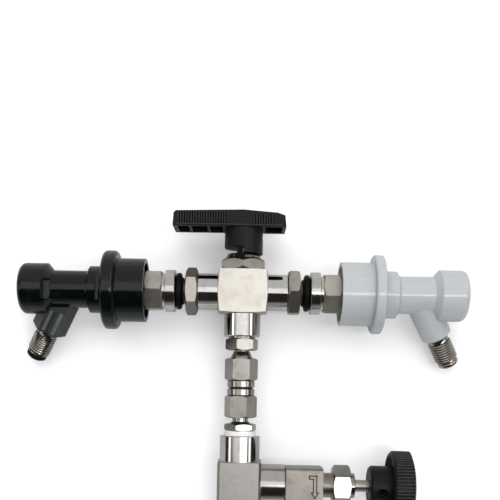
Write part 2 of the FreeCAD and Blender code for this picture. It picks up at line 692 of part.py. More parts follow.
def makePost(side, hexTurn):
    spigot = get("spigotRadius")
    port = spigot + 0.9
    adapter = newBody(f"{side}_adapter")
    hexEnd = stubReach + get("adapterHexLength")
    hexPrism(adapter, "X", stubReach + 0.1, get("adapterHexLength") - 0.1,
             get("adapterFlats"), vertexUp=side == "right", depth=0.9)
    turn(adapter, "X", [(stubReach - 9.5, 0), (stubReach - 9.5, port - 0.3),
                        (stubReach + 0.5, port), (stubReach + 0.5, 0)])
    tip = hexEnd + get("spigotLength")
    turn(adapter, "X", [(hexEnd - 0.5, 0), (hexEnd - 0.5, spigot + 0.7), (hexEnd + 0.7, spigot),
                        (tip - 2.0, spigot), (tip, spigot - 1.6), (tip, 0)])
    turn(adapter, "X", [(stubReach - 10, 0), (stubReach - 10, flow), (tip + 1, flow),
                        (tip + 1, 0)], cut=True)
    place(adapter, z=valveLevel, rotation=turnedSide(side))

    seal = newBody(f"{side}_junction_seal")
    width = get("ringSeal")
    low, high = spigot + threadSlack, spigot + 3.25
    turn(seal, "X", [(sealStart, high - 2.4), (sealStart, high - 0.9), (sealStart + 1.0, high),
                     (sealStart + width - 1.02, high), (sealStart + width - 0.02, high - 0.9),
                     (sealStart + width - 0.02, high - 2.4), (sealStart + width - 0.6, low),
                     (sealStart + 0.6, low)])
    place(seal, z=valveLevel, rotation=turnedSide(side))

    post = newBody(f"{side}_post")
    ringRadius = get("postRingRadius")
    barrel = get("barrelRadius")
    inner = barrel - get("barrelWall")
    lock = barrelStart + 5.2
    groove = get("lockGrooveDepth")
    turn(post, "X", [(ringStart, 0), (ringStart, ringRadius - 0.4), (ringStart + 0.4, ringRadius),
                     (grooveStart - 0.3, ringRadius), (grooveStart, ringRadius - 0.3),
                     (grooveStart, get("postGrooveRadius")), (postHex, get("postGrooveRadius")),
                     (postHex, barrel), (lock - 1.9, barrel), (lock - 1.2, barrel - groove),
                     (lock + 1.2, barrel - groove), (lock + 1.9, barrel),
                     (barrelEnd - 6.4, barrel), (barrelEnd - 6.4, barrel - 1.3),
                     (barrelEnd - 4.2, barrel - 1.3), (barrelEnd - 4.2, barrel),
                     (barrelEnd - 1.2, barrel), (barrelEnd, barrel - 1.2), (barrelEnd, 0)])
    hexPrism(post, "X", postHex, get("postHexLength"), get("postFlats"), vertexUp=True,
             depth=1.1)
    socket = hexEnd + get("spigotLength") + 0.3
    turn(post, "X", [(ringStart - 1, 0), (ringStart - 1, spigot + threadSlack),
                     (socket, spigot + threadSlack), (socket, inner), (barrelEnd - 1.4, inner),
                     (barrelEnd - 1.4, flow), (barrelEnd + 1, flow), (barrelEnd + 1, 0)], cut=True)
    place(post, z=valveLevel, rotation=turnedSide(side, hexTurn))

    poppet = newBody(f"{side}_post_poppet")
    seat = barrelEnd - 1.5
    turn(poppet, "X", [(seat - 5.0, 0), (seat - 5.0, 1.2), (seat - 3.0, 1.2),
                       (seat - 3.0, inner - 1.0), (seat - 1.5, inner - 1.0), (seat - 0.2, 2.0),
                       (seat - 0.2, 1.6), (barrelEnd + 0.4, 1.6), (barrelEnd + 0.4, 0)])
    place(poppet, z=valveLevel, rotation=turnedSide(side))
    spring = newBody(f"{side}_poppet_spring")
    tubeOf(spring, "X", socket + 0.05, seat - 3.05, inner - 1.3, inner - 2.1)
    place(spring, z=valveLevel, rotation=turnedSide(side))
    ring = newBody(f"{side}_post_seal")
    tubeOf(ring, "X", barrelEnd - 6.3, barrelEnd - 4.3, barrel + 0.02, barrel - 1.25)
    place(ring, z=valveLevel, rotation=turnedSide(side))


# Ball-lock disconnects, modelled outwards along X like the posts

mouth = barrelStart - 0.3
collarEnd = mouth + get("collarLength")
shoulderEnd = collarEnd + get("shoulderLength")
neckEnd = shoulderEnd + get("neckLength")
capEnd = neckEnd + get("capLength")
portLean = get("portLean")
portFoot = mouth + get("portAlong")


def alongPort(distance, radius):
    """A point of the port's half section: distance from the neck's axis, radius from the port's."""
    u = portFoot + distance * sine(portLean) + radius * cosine(portLean)
    v = -distance * cosine(portLean) + radius * sine(portLean)
    return (u, v)


def turnAlongPort(body, points, cut=False):
    sketch = newSketch(body, "XZ_Plane")
    drawOutline(sketch, [alongPort(asSize(a), asSize(r)) for a, r in points])
    start, end = alongPort(asSize(0), asSize(0)), alongPort(asSize(50), asSize(0))
    line = sketch.addGeometry(Part.LineSegment(
        FreeCAD.Vector(start[0].value, start[1].value, 0),
        FreeCAD.Vector(end[0].value, end[1].value, 0)), True)
    pin(sketch, line, 1, *start)
    pin(sketch, line, 2, *end)
    kind = "PartDesign::Groove" if cut else "PartDesign::Revolution"
    feature = body.newObject(kind, f"{body.Name}_port")
    feature.Profile = sketch
    feature.ReferenceAxis = (sketch, ["Axis0"])
    feature.Angle = 360
    return feature


def mouldWindow(body, x, y, halfWidth, halfHeight, floor, diamond=False):
    """A shallow window on the side that the black disconnect turns to the viewer."""
    sketch = newSketch(body, "XY_Plane", {"x": asSize(x)})
    out = FreeCAD.Rotation(FreeCAD.Vector(1, 0, 0), sizes["portTurn"] - 90)
    sketch.AttachmentOffset = FreeCAD.Placement(FreeCAD.Vector(), out)
    sketch.setExpression("AttachmentOffset.Base.x", asSize(x).formula)
    for name, amount in (("y", floor * cosine(get("portTurn"))),
                         ("z", floor * sine(get("portTurn")))):
        sketch.setExpression(f"AttachmentOffset.Base.{name}", amount.formula)
    y = asSize(y)
    if diamond:
        corners = [(-halfWidth, y), (0, y - halfHeight), (halfWidth, y), (0, y + halfHeight)]
    else:
        corners = [(-halfWidth, y - halfHeight), (halfWidth, y - halfHeight),
                   (halfWidth, y + halfHeight), (-halfWidth, y + halfHeight)]
    drawOutline(sketch, corners)
    extrude(body, sketch, 6.0, cut=True, flip=True)


def makeDisconnect(colour, side):
    swivel = turnedSide(side, sizes["portTurn"])
    neck = get("neckOuter")
    shoulder = get("shoulderRadius")
    barrel = get("barrelRadius")
    guide = barrel + running
    loose = barrel + slack
    step = shoulder - 0.6
    frontEnd = mouth + 1.2
    ballAt = barrelStart + 5.2
    stepAt = mouth + 15.3
    chamberStart = barrelEnd + 1.6
    stemHole = get("flowRadius")

    body = newBody(f"{colour}_disconnect_body")
    turn(body, "X", [(frontEnd, 0), (frontEnd, step), (stepAt, step), (stepAt, shoulder),
                     (shoulderEnd - 1.4, shoulder), (shoulderEnd, neck), (neckEnd, neck),
                     (neckEnd, neck - 0.6), (capEnd - 5.5, neck - 0.6), (capEnd - 5.5, 0)])
    portLength = get("portLength")
    if colour == "black":
        sketch = newSketch(body, "XY_Plane", {"x": portFoot}, 180 - portLean)
        drawHexagon(sketch, get("portFlats"), vertexUp=True)
        extrude(body, sketch, portLength)
        half = get("portGroove") / 2
        face = get("portFlats") / 2
        groove = newSketch(body, "XZ_Plane", {"z": 1.3 - face})
        drawOutline(groove, [alongPort(neck + 2.0, half), alongPort(neck + 2.0, -half),
                             alongPort(portLength + 1.0, -half), alongPort(portLength + 1.0, half)])
        extrude(body, groove, 4.0, cut=True)
        mouldWindow(body, shoulderEnd, 0.0, 1.5, 3.2, shoulder - 2.3, diamond=True)
        mouldWindow(body, collarEnd + 2.3, 0.0, 0.75, 5.6, shoulder - 1.5)
    else:
        turnAlongPort(body, [(0, 0), (0, get("portRadius") + 0.4),
                             (portLength - 0.8, get("portRadius")),
                             (portLength, get("portRadius") - 0.8), (portLength, 0)])
    turn(body, "X", [(frontEnd - 1, 0), (frontEnd - 1, loose), (ballAt + 4, loose),
                     (ballAt + 4, guide), (chamberStart, guide), (chamberStart, 6.0),
                     (capEnd, 6.0), (capEnd, 0)], cut=True)
    turnAlongPort(body, [(0, 0), (0, stemHole), (portLength - 7.0, stemHole),
                         (portLength - 7.0, get("flareRadius") - 0.6 + threadSlack),
                         (portLength + 1, get("flareRadius") - 0.6 + threadSlack),
                         (portLength + 1, 0)], cut=True)
    ballHole = get("lockBallRadius") + 0.1
    for turnBy in (0, 60, 120):
        sketch = newSketch(body, "XY_Plane", {"x": ballAt})
        sketch.AttachmentOffset = FreeCAD.Placement(
            FreeCAD.Vector(), FreeCAD.Rotation(FreeCAD.Vector(1, 0, 0), turnBy))
        sketch.setExpression("AttachmentOffset.Base.x", ballAt.formula)
        drawCircle(sketch, ballHole)
        extrude(body, sketch, shoulder * 3, cut=True, middle=True)
    place(body, z=valveLevel, rotation=swivel)

    cap = newBody(f"{colour}_disconnect_cap")
    radius, taper, rounding = get("capRadius"), get("capTaper"), get("capRounding")
    turn(cap, "X", [(neckEnd, neck - 0.6 + threadSlack), (neckEnd, neck + 0.2),
                    (neckEnd + taper, radius), (capEnd, radius), (capEnd, 0),
                    (capEnd - 5.4, 0), (capEnd - 5.4, neck - 0.6 + threadSlack)])
    roundEdges(cap, rounding, ringEdge("X", capEnd, radius))
    # the cap stands clear of the leaning port
    if colour == "black":
        sketch = newSketch(cap, "XY_Plane", {"x": portFoot}, 180 - portLean)
        drawHexagon(sketch, get("portFlats") + 0.1, vertexUp=True)
        extrude(cap, sketch, portLength * 2, cut=True, flip=True)
        mouldWindow(cap, neckEnd + 2.0, 1.2, 1.9, 4.4, radius - 3.6)
    else:
        turnAlongPort(cap, [(0, 0), (0, get("portRadius") + 0.45),
                            (portLength * 2, get("portRadius") + 0.05), (portLength * 2, 0)],
                      cut=True)
    place(cap, z=valveLevel, rotation=swivel)

    collar = newBody(f"{colour}_collar")
    flange, skirt = get("flangeRadius"), get("skirtRadius")
    skirtEnd = collarEnd - get(f"{colour}Flange")
    wall = 2.0
    hole = shoulder + running
    ringHole = step + running
    chamber = skirt - wall
    ringFrom, ringTo = ballAt - 1.8, ballAt + 4.8
    turn(collar, "X", [(mouth, chamber), (mouth, skirt), (skirtEnd, skirt), (skirtEnd, flange),
                       (collarEnd, flange), (collarEnd, hole), (collarEnd - 2.2, hole),
                       (collarEnd - 2.2, chamber - 0.6), (ringTo, chamber - 0.6),
                       (ringTo, ringHole), (ringFrom, ringHole), (ringFrom, chamber)])
    rounding = get(f"{colour}Rounding")
    roundEdges(collar, rounding, ringEdge("X", collarEnd, flange))
    roundEdges(collar, rounding, ringEdge("X", skirtEnd, flange))
    place(collar, z=valveLevel, rotation=swivel)

    spring = newBody(f"{colour}_collar_spring")
    tubeOf(spring, "X", ringTo + 0.05, stepAt - 0.05, step + 1.1, step + 0.3)
    place(spring, z=valveLevel, rotation=swivel)

    lift = barrel - get("lockGrooveDepth") + get("lockBallRadius") + 0.1
    balls = doc.addObject("Part::Compound", f"{colour}_lock_balls")
    balls.Label = f"{colour}_lock_balls"
    spheres = []
    for number in range(6):
        ball = doc.addObject("Part::Sphere", f"{colour}_lock_ball")
        ball.setExpression("Radius", "Sheet.lockBallRadius")
        around = math.radians(60 * number)
        for name, amount in (("x", ballAt), ("y", lift * -math.sin(around)),
                             ("z", lift * math.cos(around))):
            ball.setExpression(f"Placement.Base.{name}", amount.formula)
        spheres.append(ball)
    balls.Links = spheres
    balls.Placement = FreeCAD.Placement(FreeCAD.Vector(), swivel)
    balls.setExpression("Placement.Base.z", valveLevel.formula)
    bodies.append(balls)

    plunger = newBody(f"{colour}_plunger")
    tip = barrelEnd + 0.5
    turn(plunger, "X", [(tip, 0), (tip, 1.5), (tip + 3.0, 1.5), (tip + 3.0, 5.2),
                        (tip + 5.2, 5.2), (tip + 5.2, 1.8), (tip + 16.0, 1.8), (tip + 16.0, 0)])
    place(plunger, z=valveLevel, rotation=swivel)
    spring = newBody(f"{colour}_plunger_spring")
    tubeOf(spring, "X", tip + 5.25, capEnd - 5.55, 4.4, 3.6)
    place(spring, z=valveLevel, rotation=swivel)

    stud = newBody(f"{colour}_flare_stud")
    root, tipStart = portLength + 0.05, portLength + get("flareLength")
    flare = get("flareRadius")
    turnAlongPort(stud, [(portLength - 6.9, 2.1), (portLength - 6.9, flare - 0.6),
                         (root, flare - 0.6), (root, flare - 0.2), (root + 0.9, flare - 0.2),
                         (root + 1.4, flare - 1.0), (root + 2.4, flare - 1.0), (root + 3.0, flare),
                         (tipStart - 1.2, flare), (tipStart, flare - 1.2), (tipStart, 2.1)])
    place(stud, z=valveLevel, rotation=swivel)
    tipEnd = tipStart + get("flareTipLength")
    tipRadius = get("flareTipRadius")
    nose = newBody(f"{colour}_flare_tip")
    turnAlongPort(nose, [(tipStart + 0.02, 2.3), (tipStart + 0.02, tipRadius - 0.3),
                         (tipStart + 0.5, tipRadius), (tipEnd - 0.9, tipRadius),
                         (tipEnd, tipRadius - 1.0), (tipEnd, 2.3)])
    place(nose, z=valveLevel, rotation=swivel)


# Angle needle valve on the tee's branch, modelled along X from the tee's axis

needleStart = get("teeWidth") / 2 + get("teeBranchLength") + get("needleGap")
needleBlockEnd = needleStart + get("needleBlockWidth")
needleNut = needleBlockEnd + get("needleNeckLength")
needleNutEnd = needleNut + get("needleNutLength")
needleRingEnd = needleNutEnd + get("needleRingLength")
knobStart = needleRingEnd + get("needleStemShow")
outletX = needleStart + get("needleBlockWidth") / 2


def makeNeedleValve():
    size = get("needleBlockSize")
    half, nick = size / 2, 0.9
    width = get("needleBlockWidth")
    neck = get("needleNeckRadius")
    thread = get("spigotRadius") + 0.9
    stem = get("needleStemRadius")
    drop = get("needleDrop")
    body = newBody("needle_valve_body")
    sketch = newSketch(body, "YZ_Plane", {"z": needleStart})
    drawOutline(sketch, [(-half + nick, half), (-half, half - nick), (-half, -drop),
                         (half, -drop), (half, half - nick), (half - nick, half)])
    extrude(body, sketch, width)
    turn(body, "X", [(needleStart - 9.8, 0), (needleStart - 9.8, thread - 0.3),
                     (needleStart + 0.5, thread), (needleStart + 0.5, 0)])
    turn(body, "X", [(needleBlockEnd - 0.5, 0), (needleBlockEnd - 0.5, neck),
                     (needleNut + 6.0, neck), (needleNut + 6.0, 0)])
    outlet = newSketch(body, "XY_Plane", {"x": outletX, "z": -drop - 12.0})
    drawCircle(outlet, get("needleOutletRadius"))
    extrude(body, outlet, 12.5)
    well = newSketch(body, "XY_Plane", {"x": outletX, "z": -drop - 13.0})
    drawCircle(well, get("outletBore"))
    extrude(body, well, 11.0, cut=True, flip=True)
    way = newSketch(body, "XY_Plane", {"x": outletX, "z": -drop - 3.0})
    drawCircle(way, flow)
    extrude(body, way, drop + 3.0, cut=True, flip=True)
    turn(body, "X", [(needleStart - 11, 0), (needleStart - 11, flow), (outletX - 3.4, flow),
                     (outletX - 3.4, 1.3), (outletX - 1.2, 1.3), (outletX - 1.2, stem + running),
                     (needleNut + 1.5, stem + running), (needleNut + 1.5, stem + 1.5),
                     (needleNut + 8, stem + 1.5), (needleNut + 8, 0)], cut=True)
    place(body, z=teeLevel)

    packing = newBody("needle_packing")
    tubeOf(packing, "X", needleNut + 1.55, needleNut + 5.9, stem + 1.45, stem + running)
    place(packing, z=teeLevel)

    nut = newBody("needle_packing_nut")
    hexPrism(nut, "X", needleNut, get("needleNutLength"), get("needleNutFlats"), depth=1.0)
    turn(nut, "X", [(needleNutEnd - 0.5, 0), (needleNutEnd - 0.5, neck), (needleRingEnd - 0.3, neck),
                    (needleRingEnd, neck - 0.3), (needleRingEnd, 0)])
    turn(nut, "X", [(needleNut - 1, 0), (needleNut - 1, neck + threadSlack),
                    (needleNut + 6.1, neck + threadSlack), (needleNut + 6.1, stem + running),
                    (needleRingEnd + 1, stem + running), (needleRingEnd + 1, 0)], cut=True)
    place(nut, z=teeLevel)

    knobEnd = knobStart + get("knobHubLength") + get("knobLength")
    rod = newBody("needle_stem")
    tip = outletX - 1.6
    turn(rod, "X", [(tip, 0), (tip, 0.2), (tip + 3.0, 1.5), (tip + 3.0, stem - 0.6),
                    (tip + 3.6, stem),
                    (knobEnd - 6.0, stem), (knobEnd - 6.0, 0)])
    place(rod, z=teeLevel)

    knob = newBody("needle_knob")
    hub, wheel = get("knobHubRadius"), get("knobRadius")
    hubEnd = knobStart + get("knobHubLength")
    bore = stem + running
    turn(knob, "X", [(knobStart, bore), (knobStart, hub - 1.0), (knobStart + 1.0, hub),
                     (hubEnd + 2.4, hub), (hubEnd + 2.4, wheel - 3.4), (hubEnd, wheel - 2.0),
                     (hubEnd, wheel - 0.9), (hubEnd + 0.9, wheel), (knobEnd - 2.2, wheel),
                     (knobEnd - 0.7, wheel - 0.9), (knobEnd, wheel - 2.6), (knobEnd, wheel - 4.4),
                     (knobEnd - 1.2, wheel - 5.4), (knobEnd - 1.2, 0), (knobEnd - 5.9, 0),
                     (knobEnd - 5.9, bore)])
    screwAt = knobStart + 5.4
    hole = newSketch(knob, "XY_Plane", {"x": screwAt})
    hole.AttachmentOffset = FreeCAD.Placement(
        FreeCAD.Vector(), FreeCAD.Rotation(FreeCAD.Vector(1, 0, 0), 104))
    hole.setExpression("AttachmentOffset.Base.x", screwAt.formula)
    drawCircle(hole, 2.4)
    extrude(knob, hole, hub * 2, cut=True, flip=True)
    place(knob, z=teeLevel)
    screw = newBody("knob_set_screw")
    turn(screw, "Z", [(stem + 0.02, 0), (stem + 0.02, 2.35), (hub - 2.6, 2.35), (hub - 2.6, 1.2),
                      (hub - 4.4, 1.2), (hub - 4.4, 0)])
    place(screw, x=screwAt, z=teeLevel, rotation=FreeCAD.Rotation(FreeCAD.Vector(1, 0, 0), 104))


sleeveTop = get("glandBottom") + get("glandNutLength") + get("glandHexLength") - 1.5
tubeTop = teeTop + 1.8

makeStopper()
makeSleeve()
makeFillingTube()
makeGland()
makeTee()
makeLowerAdapter()
makeCheckValve()
makeUpperAdapter()
makeBallValve()
makeHandle()
makePost("left", 0.0)
makePost("right", 10.0)
makeDisconnect("black", "left")
makeDisconnect("grey", "right")
makeNeedleValve()
for label, names in (
        ("side_end_connectors", ("left_end_connector", "right_end_connector")),
        ("ball_seats", ("left_ball_seat", "right_ball_seat", "bottom_ball_seat")),
        ("junction_seals", ("left_junction_seal", "right_junction_seal")),
        ("post_poppets", ("left_post_poppet", "right_post_poppet")),
        ("poppet_springs", ("left_poppet_spring", "right_poppet_spring")),
        ("post_seals", ("left_post_seal", "right_post_seal"))):
    together(label, [doc.getObject(name) for name in names])
doc.recompute()

# Checks before writing
faults = []
for thing in doc.Objects:
    if "Invalid" in thing.State or "Error" in thing.State:
        faults.append(f"{thing.Name}: {thing.State}")
for body in bodies:
    if body.Shape.isNull() or not body.Shape.isValid():
        faults.append(f"{body.Label}: bad shape")
if faults:
    raise RuntimeError("; ".join(faults))

os.makedirs("parts", exist_ok=True)
for body in bodies:
    body.Shape.exportStep(f"parts/{body.Label}.step")
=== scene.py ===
import json
import math

import bmesh
import bpy
from mathutils import Matrix, Vector


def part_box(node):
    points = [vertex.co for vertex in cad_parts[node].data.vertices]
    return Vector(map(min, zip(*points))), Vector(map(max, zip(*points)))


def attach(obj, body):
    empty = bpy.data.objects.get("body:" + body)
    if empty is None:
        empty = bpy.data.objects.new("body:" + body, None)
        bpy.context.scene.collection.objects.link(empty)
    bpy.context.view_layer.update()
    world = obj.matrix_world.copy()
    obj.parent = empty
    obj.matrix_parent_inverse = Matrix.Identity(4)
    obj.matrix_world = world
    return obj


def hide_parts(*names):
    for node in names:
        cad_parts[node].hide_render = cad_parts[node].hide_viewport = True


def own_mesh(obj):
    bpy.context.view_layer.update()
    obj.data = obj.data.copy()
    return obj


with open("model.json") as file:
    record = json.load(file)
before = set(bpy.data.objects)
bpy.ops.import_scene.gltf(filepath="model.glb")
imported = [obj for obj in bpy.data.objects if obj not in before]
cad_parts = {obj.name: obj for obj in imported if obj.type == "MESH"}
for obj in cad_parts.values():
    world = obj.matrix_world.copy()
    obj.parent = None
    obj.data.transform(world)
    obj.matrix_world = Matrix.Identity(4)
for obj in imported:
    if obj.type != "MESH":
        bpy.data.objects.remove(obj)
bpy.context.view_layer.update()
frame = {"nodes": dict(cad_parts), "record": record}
mm = 0.001

record = frame["record"]
bodyOf = {node: body for body, nodes in record["behaviour"]["bodies"].items() for node in nodes}
jointPlace = {joint["name"]: joint.get("pos_m") for joint in record["behaviour"]["joints"]}
valveLevel = jointPlace["handle_turn"][2]    # height of the ball valve's axis
teeLevel = jointPlace["knob_turn"][2]        # height of the needle valve's axis


# Shader building blocks

def addNode(tree, kind, **values):
    node = tree.nodes.new(kind)
    for name, value in values.items():
        if name in node.inputs.keys():
            node.inputs[name].default_value = value
        else:
            setattr(node, name, value)
    return node


def newGroup(name, inputs, outputs):
    tree = bpy.data.node_groups.new(name, "ShaderNodeTree")
    for label, kind, value in inputs:
        socket = tree.interface.new_socket(label, in_out="INPUT", socket_type=kind)
        socket.default_value = value
    for label, kind in outputs:
        tree.interface.new_socket(label, in_out="OUTPUT", socket_type=kind)
    return tree, tree.nodes.new("NodeGroupInput"), tree.nodes.new("NodeGroupOutput")


def makeToolMarks():
    # fine lines left by a cutting tool or a brush: Stretch is how close they lie along each axis
    tree, given, result = newGroup(
        "toolMarks",
        [("Stretch", "NodeSocketVector", (800, 800, 800)), ("Detail", "NodeSocketFloat", 3.0)],
        [("Height", "NodeSocketFloat")])
    place = addNode(tree, "ShaderNodeTexCoord")
    scale = addNode(tree, "ShaderNodeMapping")
    noise = addNode(tree, "ShaderNodeTexNoise", Scale=1.0, Roughness=0.62)
    tree.links.new(place.outputs["Object"], scale.inputs["Vector"])
    tree.links.new(given.outputs["Stretch"], scale.inputs["Scale"])
    tree.links.new(scale.outputs["Vector"], noise.inputs["Vector"])
    tree.links.new(given.outputs["Detail"], noise.inputs["Detail"])
    tree.links.new(noise.outputs["Fac"], result.inputs["Height"])
    return tree


def makePatches():
    # soft-edged patches, for handling marks, tarnish and dust
    tree, given, result = newGroup(
        "patches",
        [("Closeness", "NodeSocketFloat", 150.0), ("Low", "NodeSocketFloat", 0.45),
         ("High", "NodeSocketFloat", 0.7)],
        [("Mask", "NodeSocketFloat")])
    place = addNode(tree, "ShaderNodeTexCoord")
    noise = addNode(tree, "ShaderNodeTexNoise", Detail=5.0, Roughness=0.6)
    ramp = addNode(tree, "ShaderNodeMapRange", interpolation_type="SMOOTHSTEP")
    tree.links.new(place.outputs["Object"], noise.inputs["Vector"])
    tree.links.new(given.outputs["Closeness"], noise.inputs["Scale"])
    tree.links.new(noise.outputs["Fac"], ramp.inputs["Value"])
    tree.links.new(given.outputs["Low"], ramp.inputs["From Min"])
    tree.links.new(given.outputs["High"], ramp.inputs["From Max"])
    tree.links.new(ramp.outputs["Result"], result.inputs["Mask"])
    return tree


def makeZone():
    # 1 inside a box in the part's frame, 0 outside, with a short fade between
    tree, given, result = newGroup(
        "zone",
        [("Centre", "NodeSocketVector", (0, 0, 0)), ("Half Size", "NodeSocketVector", (1, 1, 1)),
         ("Fade", "NodeSocketFloat", 0.0003)],
        [("Mask", "NodeSocketFloat")])
    place = addNode(tree, "ShaderNodeTexCoord")
    apart = addNode(tree, "ShaderNodeVectorMath", operation="SUBTRACT")
    size = addNode(tree, "ShaderNodeVectorMath", operation="ABSOLUTE")
    past = addNode(tree, "ShaderNodeVectorMath", operation="SUBTRACT")
    split = addNode(tree, "ShaderNodeSeparateXYZ")
    first = addNode(tree, "ShaderNodeMath", operation="MAXIMUM")
    most = addNode(tree, "ShaderNodeMath", operation="MAXIMUM")
    ramp = addNode(tree, "ShaderNodeMapRange", interpolation_type="SMOOTHSTEP",
                   **{"From Min": 0.0, "To Min": 1.0, "To Max": 0.0})
    tree.links.new(place.outputs["Object"], apart.inputs[0])
    tree.links.new(given.outputs["Centre"], apart.inputs[1])
    tree.links.new(apart.outputs["Vector"], size.inputs[0])
    tree.links.new(size.outputs["Vector"], past.inputs[0])
    tree.links.new(given.outputs["Half Size"], past.inputs[1])
    tree.links.new(past.outputs["Vector"], split.inputs["Vector"])
    tree.links.new(split.outputs["X"], first.inputs[0])
    tree.links.new(split.outputs["Y"], first.inputs[1])
    tree.links.new(first.outputs["Value"], most.inputs[0])
    tree.links.new(split.outputs["Z"], most.inputs[1])
    tree.links.new(most.outputs["Value"], ramp.inputs["Value"])
    tree.links.new(given.outputs["Fade"], ramp.inputs["From Max"])
    tree.links.new(ramp.outputs["Result"], result.inputs["Mask"])
    return tree


toolMarks = makeToolMarks()
patches = makePatches()
zone = makeZone()


def newMaterial(name):
    material = bpy.data.materials.new(name)
    material.use_nodes = True
    shader = material.node_tree.nodes["Principled BSDF"]
    return material, material.node_tree, shader


def addGroup(tree, group, **values):
    node = tree.nodes.new("ShaderNodeGroup")
    node.node_tree = group
    for name, value in values.items():
        node.inputs[name].default_value = value
    return node


def mixColours(tree, mask, clean, marked):
    # clean and marked are colours or other mixes' outputs
    mix = addNode(tree, "ShaderNodeMix", data_type="RGBA")
    sockets = [socket for socket in mix.inputs if socket.type == "RGBA"]
    for socket, colour in zip(sockets, (clean, marked)):
        if isinstance(colour, tuple):
            socket.default_value = (*colour, 1)
        else:
            tree.links.new(colour, socket)
    factor = [socket for socket in mix.inputs if socket.name == "Factor" and socket.type == "VALUE"]
    tree.links.new(mask, factor[0])
    return [socket for socket in mix.outputs if socket.type == "RGBA"][0]


def varyRoughness(tree, shader, mask, low, high, inZone, zoneValue):
    spread = addNode(tree, "ShaderNodeMapRange", **{"To Min": low, "To Max": high})
    tree.links.new(mask, spread.inputs["Value"])
    value = spread.outputs["Result"]
    if inZone is not None:
        blend = addNode(tree, "ShaderNodeMix", data_type="FLOAT")
        blend.inputs["B"].default_value = zoneValue
        tree.links.new(inZone, blend.inputs["Factor"])
        tree.links.new(value, blend.inputs["A"])
        value = blend.outputs["Result"]
    tree.links.new(value, shader.inputs["Roughness"])


def addRelief(tree, shader, height, strength, depth):
    bump = addNode(tree, "ShaderNodeBump", Strength=strength, Distance=depth)
    tree.links.new(height, bump.inputs["Height"])
    tree.links.new(bump.outputs["Normal"], shader.inputs["Normal"])


def addZone(tree, box):
    # box: centre and half size in mm, in the part's frame
    centre, half = box
    return addGroup(tree, zone, **{"Centre": [value * mm for value in centre],
                                   "Half Size": [value * mm for value in half]}).outputs["Mask"]


finishes = {}
marking = {
    "stains": {"Low": 0.42, "High": 0.72},      # tarnish on steel
    "spots": {"Low": 0.38, "High": 0.72},       # mottling inside a steel's zone
    "spotsCloser": 2.2, "spotsDarker": 0.91,
    "wear": {"Closeness": 210.0, "Low": 0.48, "High": 0.75},      # handling marks on plastic
    "steelDepth": 0.02 * mm, "plasticDepth": 0.03 * mm,
}


def steel(name, clean, tarnish, smooth, rough, stretch, relief, patchSize=160.0, zoneBox=None,
          zoneColour=None, zoneRough=0.1):
    # zoneBox marks a part of the piece with its own colour and roughness: a polished or duller
    # part, or a painted highlight or painted shade
    material, tree, shader = newMaterial(name)
    shader.inputs["Metallic"].default_value = 1.0
    marks = addGroup(tree, toolMarks, Stretch=stretch, Detail=4.0)
    stains = addGroup(tree, patches, Closeness=patchSize, **marking["stains"])
    colour = mixColours(tree, stains.outputs["Mask"], clean, tarnish)
    inZone = addZone(tree, zoneBox) if zoneBox else None
    if inZone is not None:
        spots = addGroup(tree, patches, Closeness=patchSize * marking["spotsCloser"],
                         **marking["spots"])
        worn = tuple(value * marking["spotsDarker"] for value in zoneColour)
        mottled = mixColours(tree, spots.outputs["Mask"], zoneColour, worn)
        colour = mixColours(tree, inZone, colour, mottled)
    tree.links.new(colour, shader.inputs["Base Color"])
    varyRoughness(tree, shader, marks.outputs["Height"], smooth, rough, inZone, zoneRough)
    addRelief(tree, shader, marks.outputs["Height"], relief, marking["steelDepth"])
    finishes[name] = material


def plastic(name, clean, worn, smooth, rough, grain, relief, gloss=0.5, zoneBox=None,
            zoneColour=None, zoneRough=0.5):
    material, tree, shader = newMaterial(name)
    shader.inputs["IOR"].default_value = 1.5
    shader.inputs["Specular IOR Level"].default_value = gloss
    peel = addGroup(tree, toolMarks, Stretch=(grain, grain, grain), Detail=2.0)
    wear = addGroup(tree, patches, **marking["wear"])
    colour = mixColours(tree, wear.outputs["Mask"], clean, worn)
    inZone = addZone(tree, zoneBox) if zoneBox else None
    if inZone is not None:
        colour = mixColours(tree, inZone, colour, zoneColour)
    tree.links.new(colour, shader.inputs["Base Color"])
    varyRoughness(tree, shader, wear.outputs["Mask"], smooth, rough, inZone, zoneRough)
    addRelief(tree, shader, peel.outputs["Height"], relief, marking["plasticDepth"])
    finishes[name] = material


valveMm, teeMm = valveLevel / mm, teeLevel / mm
steel("polishedSteel", (0.66, 0.65, 0.635), (0.56, 0.54, 0.515),
      0.04, 0.13, (500, 500, 500), 0.05)
steel("turnedAlongX", (0.50, 0.47, 0.42), (0.38, 0.345, 0.30),
      0.30, 0.46, (4200, 260, 260), 0.16)
# hexagons left as cast, with the collar next to them turned bright
steel("postSteel", (0.60, 0.565, 0.505), (0.47, 0.435, 0.38),
      0.40, 0.52, (1500, 1500, 1500), 0.3,
      zoneBox=((0, 0, valveMm), (38.0, 30, 30)),
      zoneColour=(0.60, 0.585, 0.56), zoneRough=0.13)
steel("turnedAlongZ", (0.35, 0.335, 0.31), (0.28, 0.265, 0.24),
      0.13, 0.26, (260, 260, 4200), 0.25)
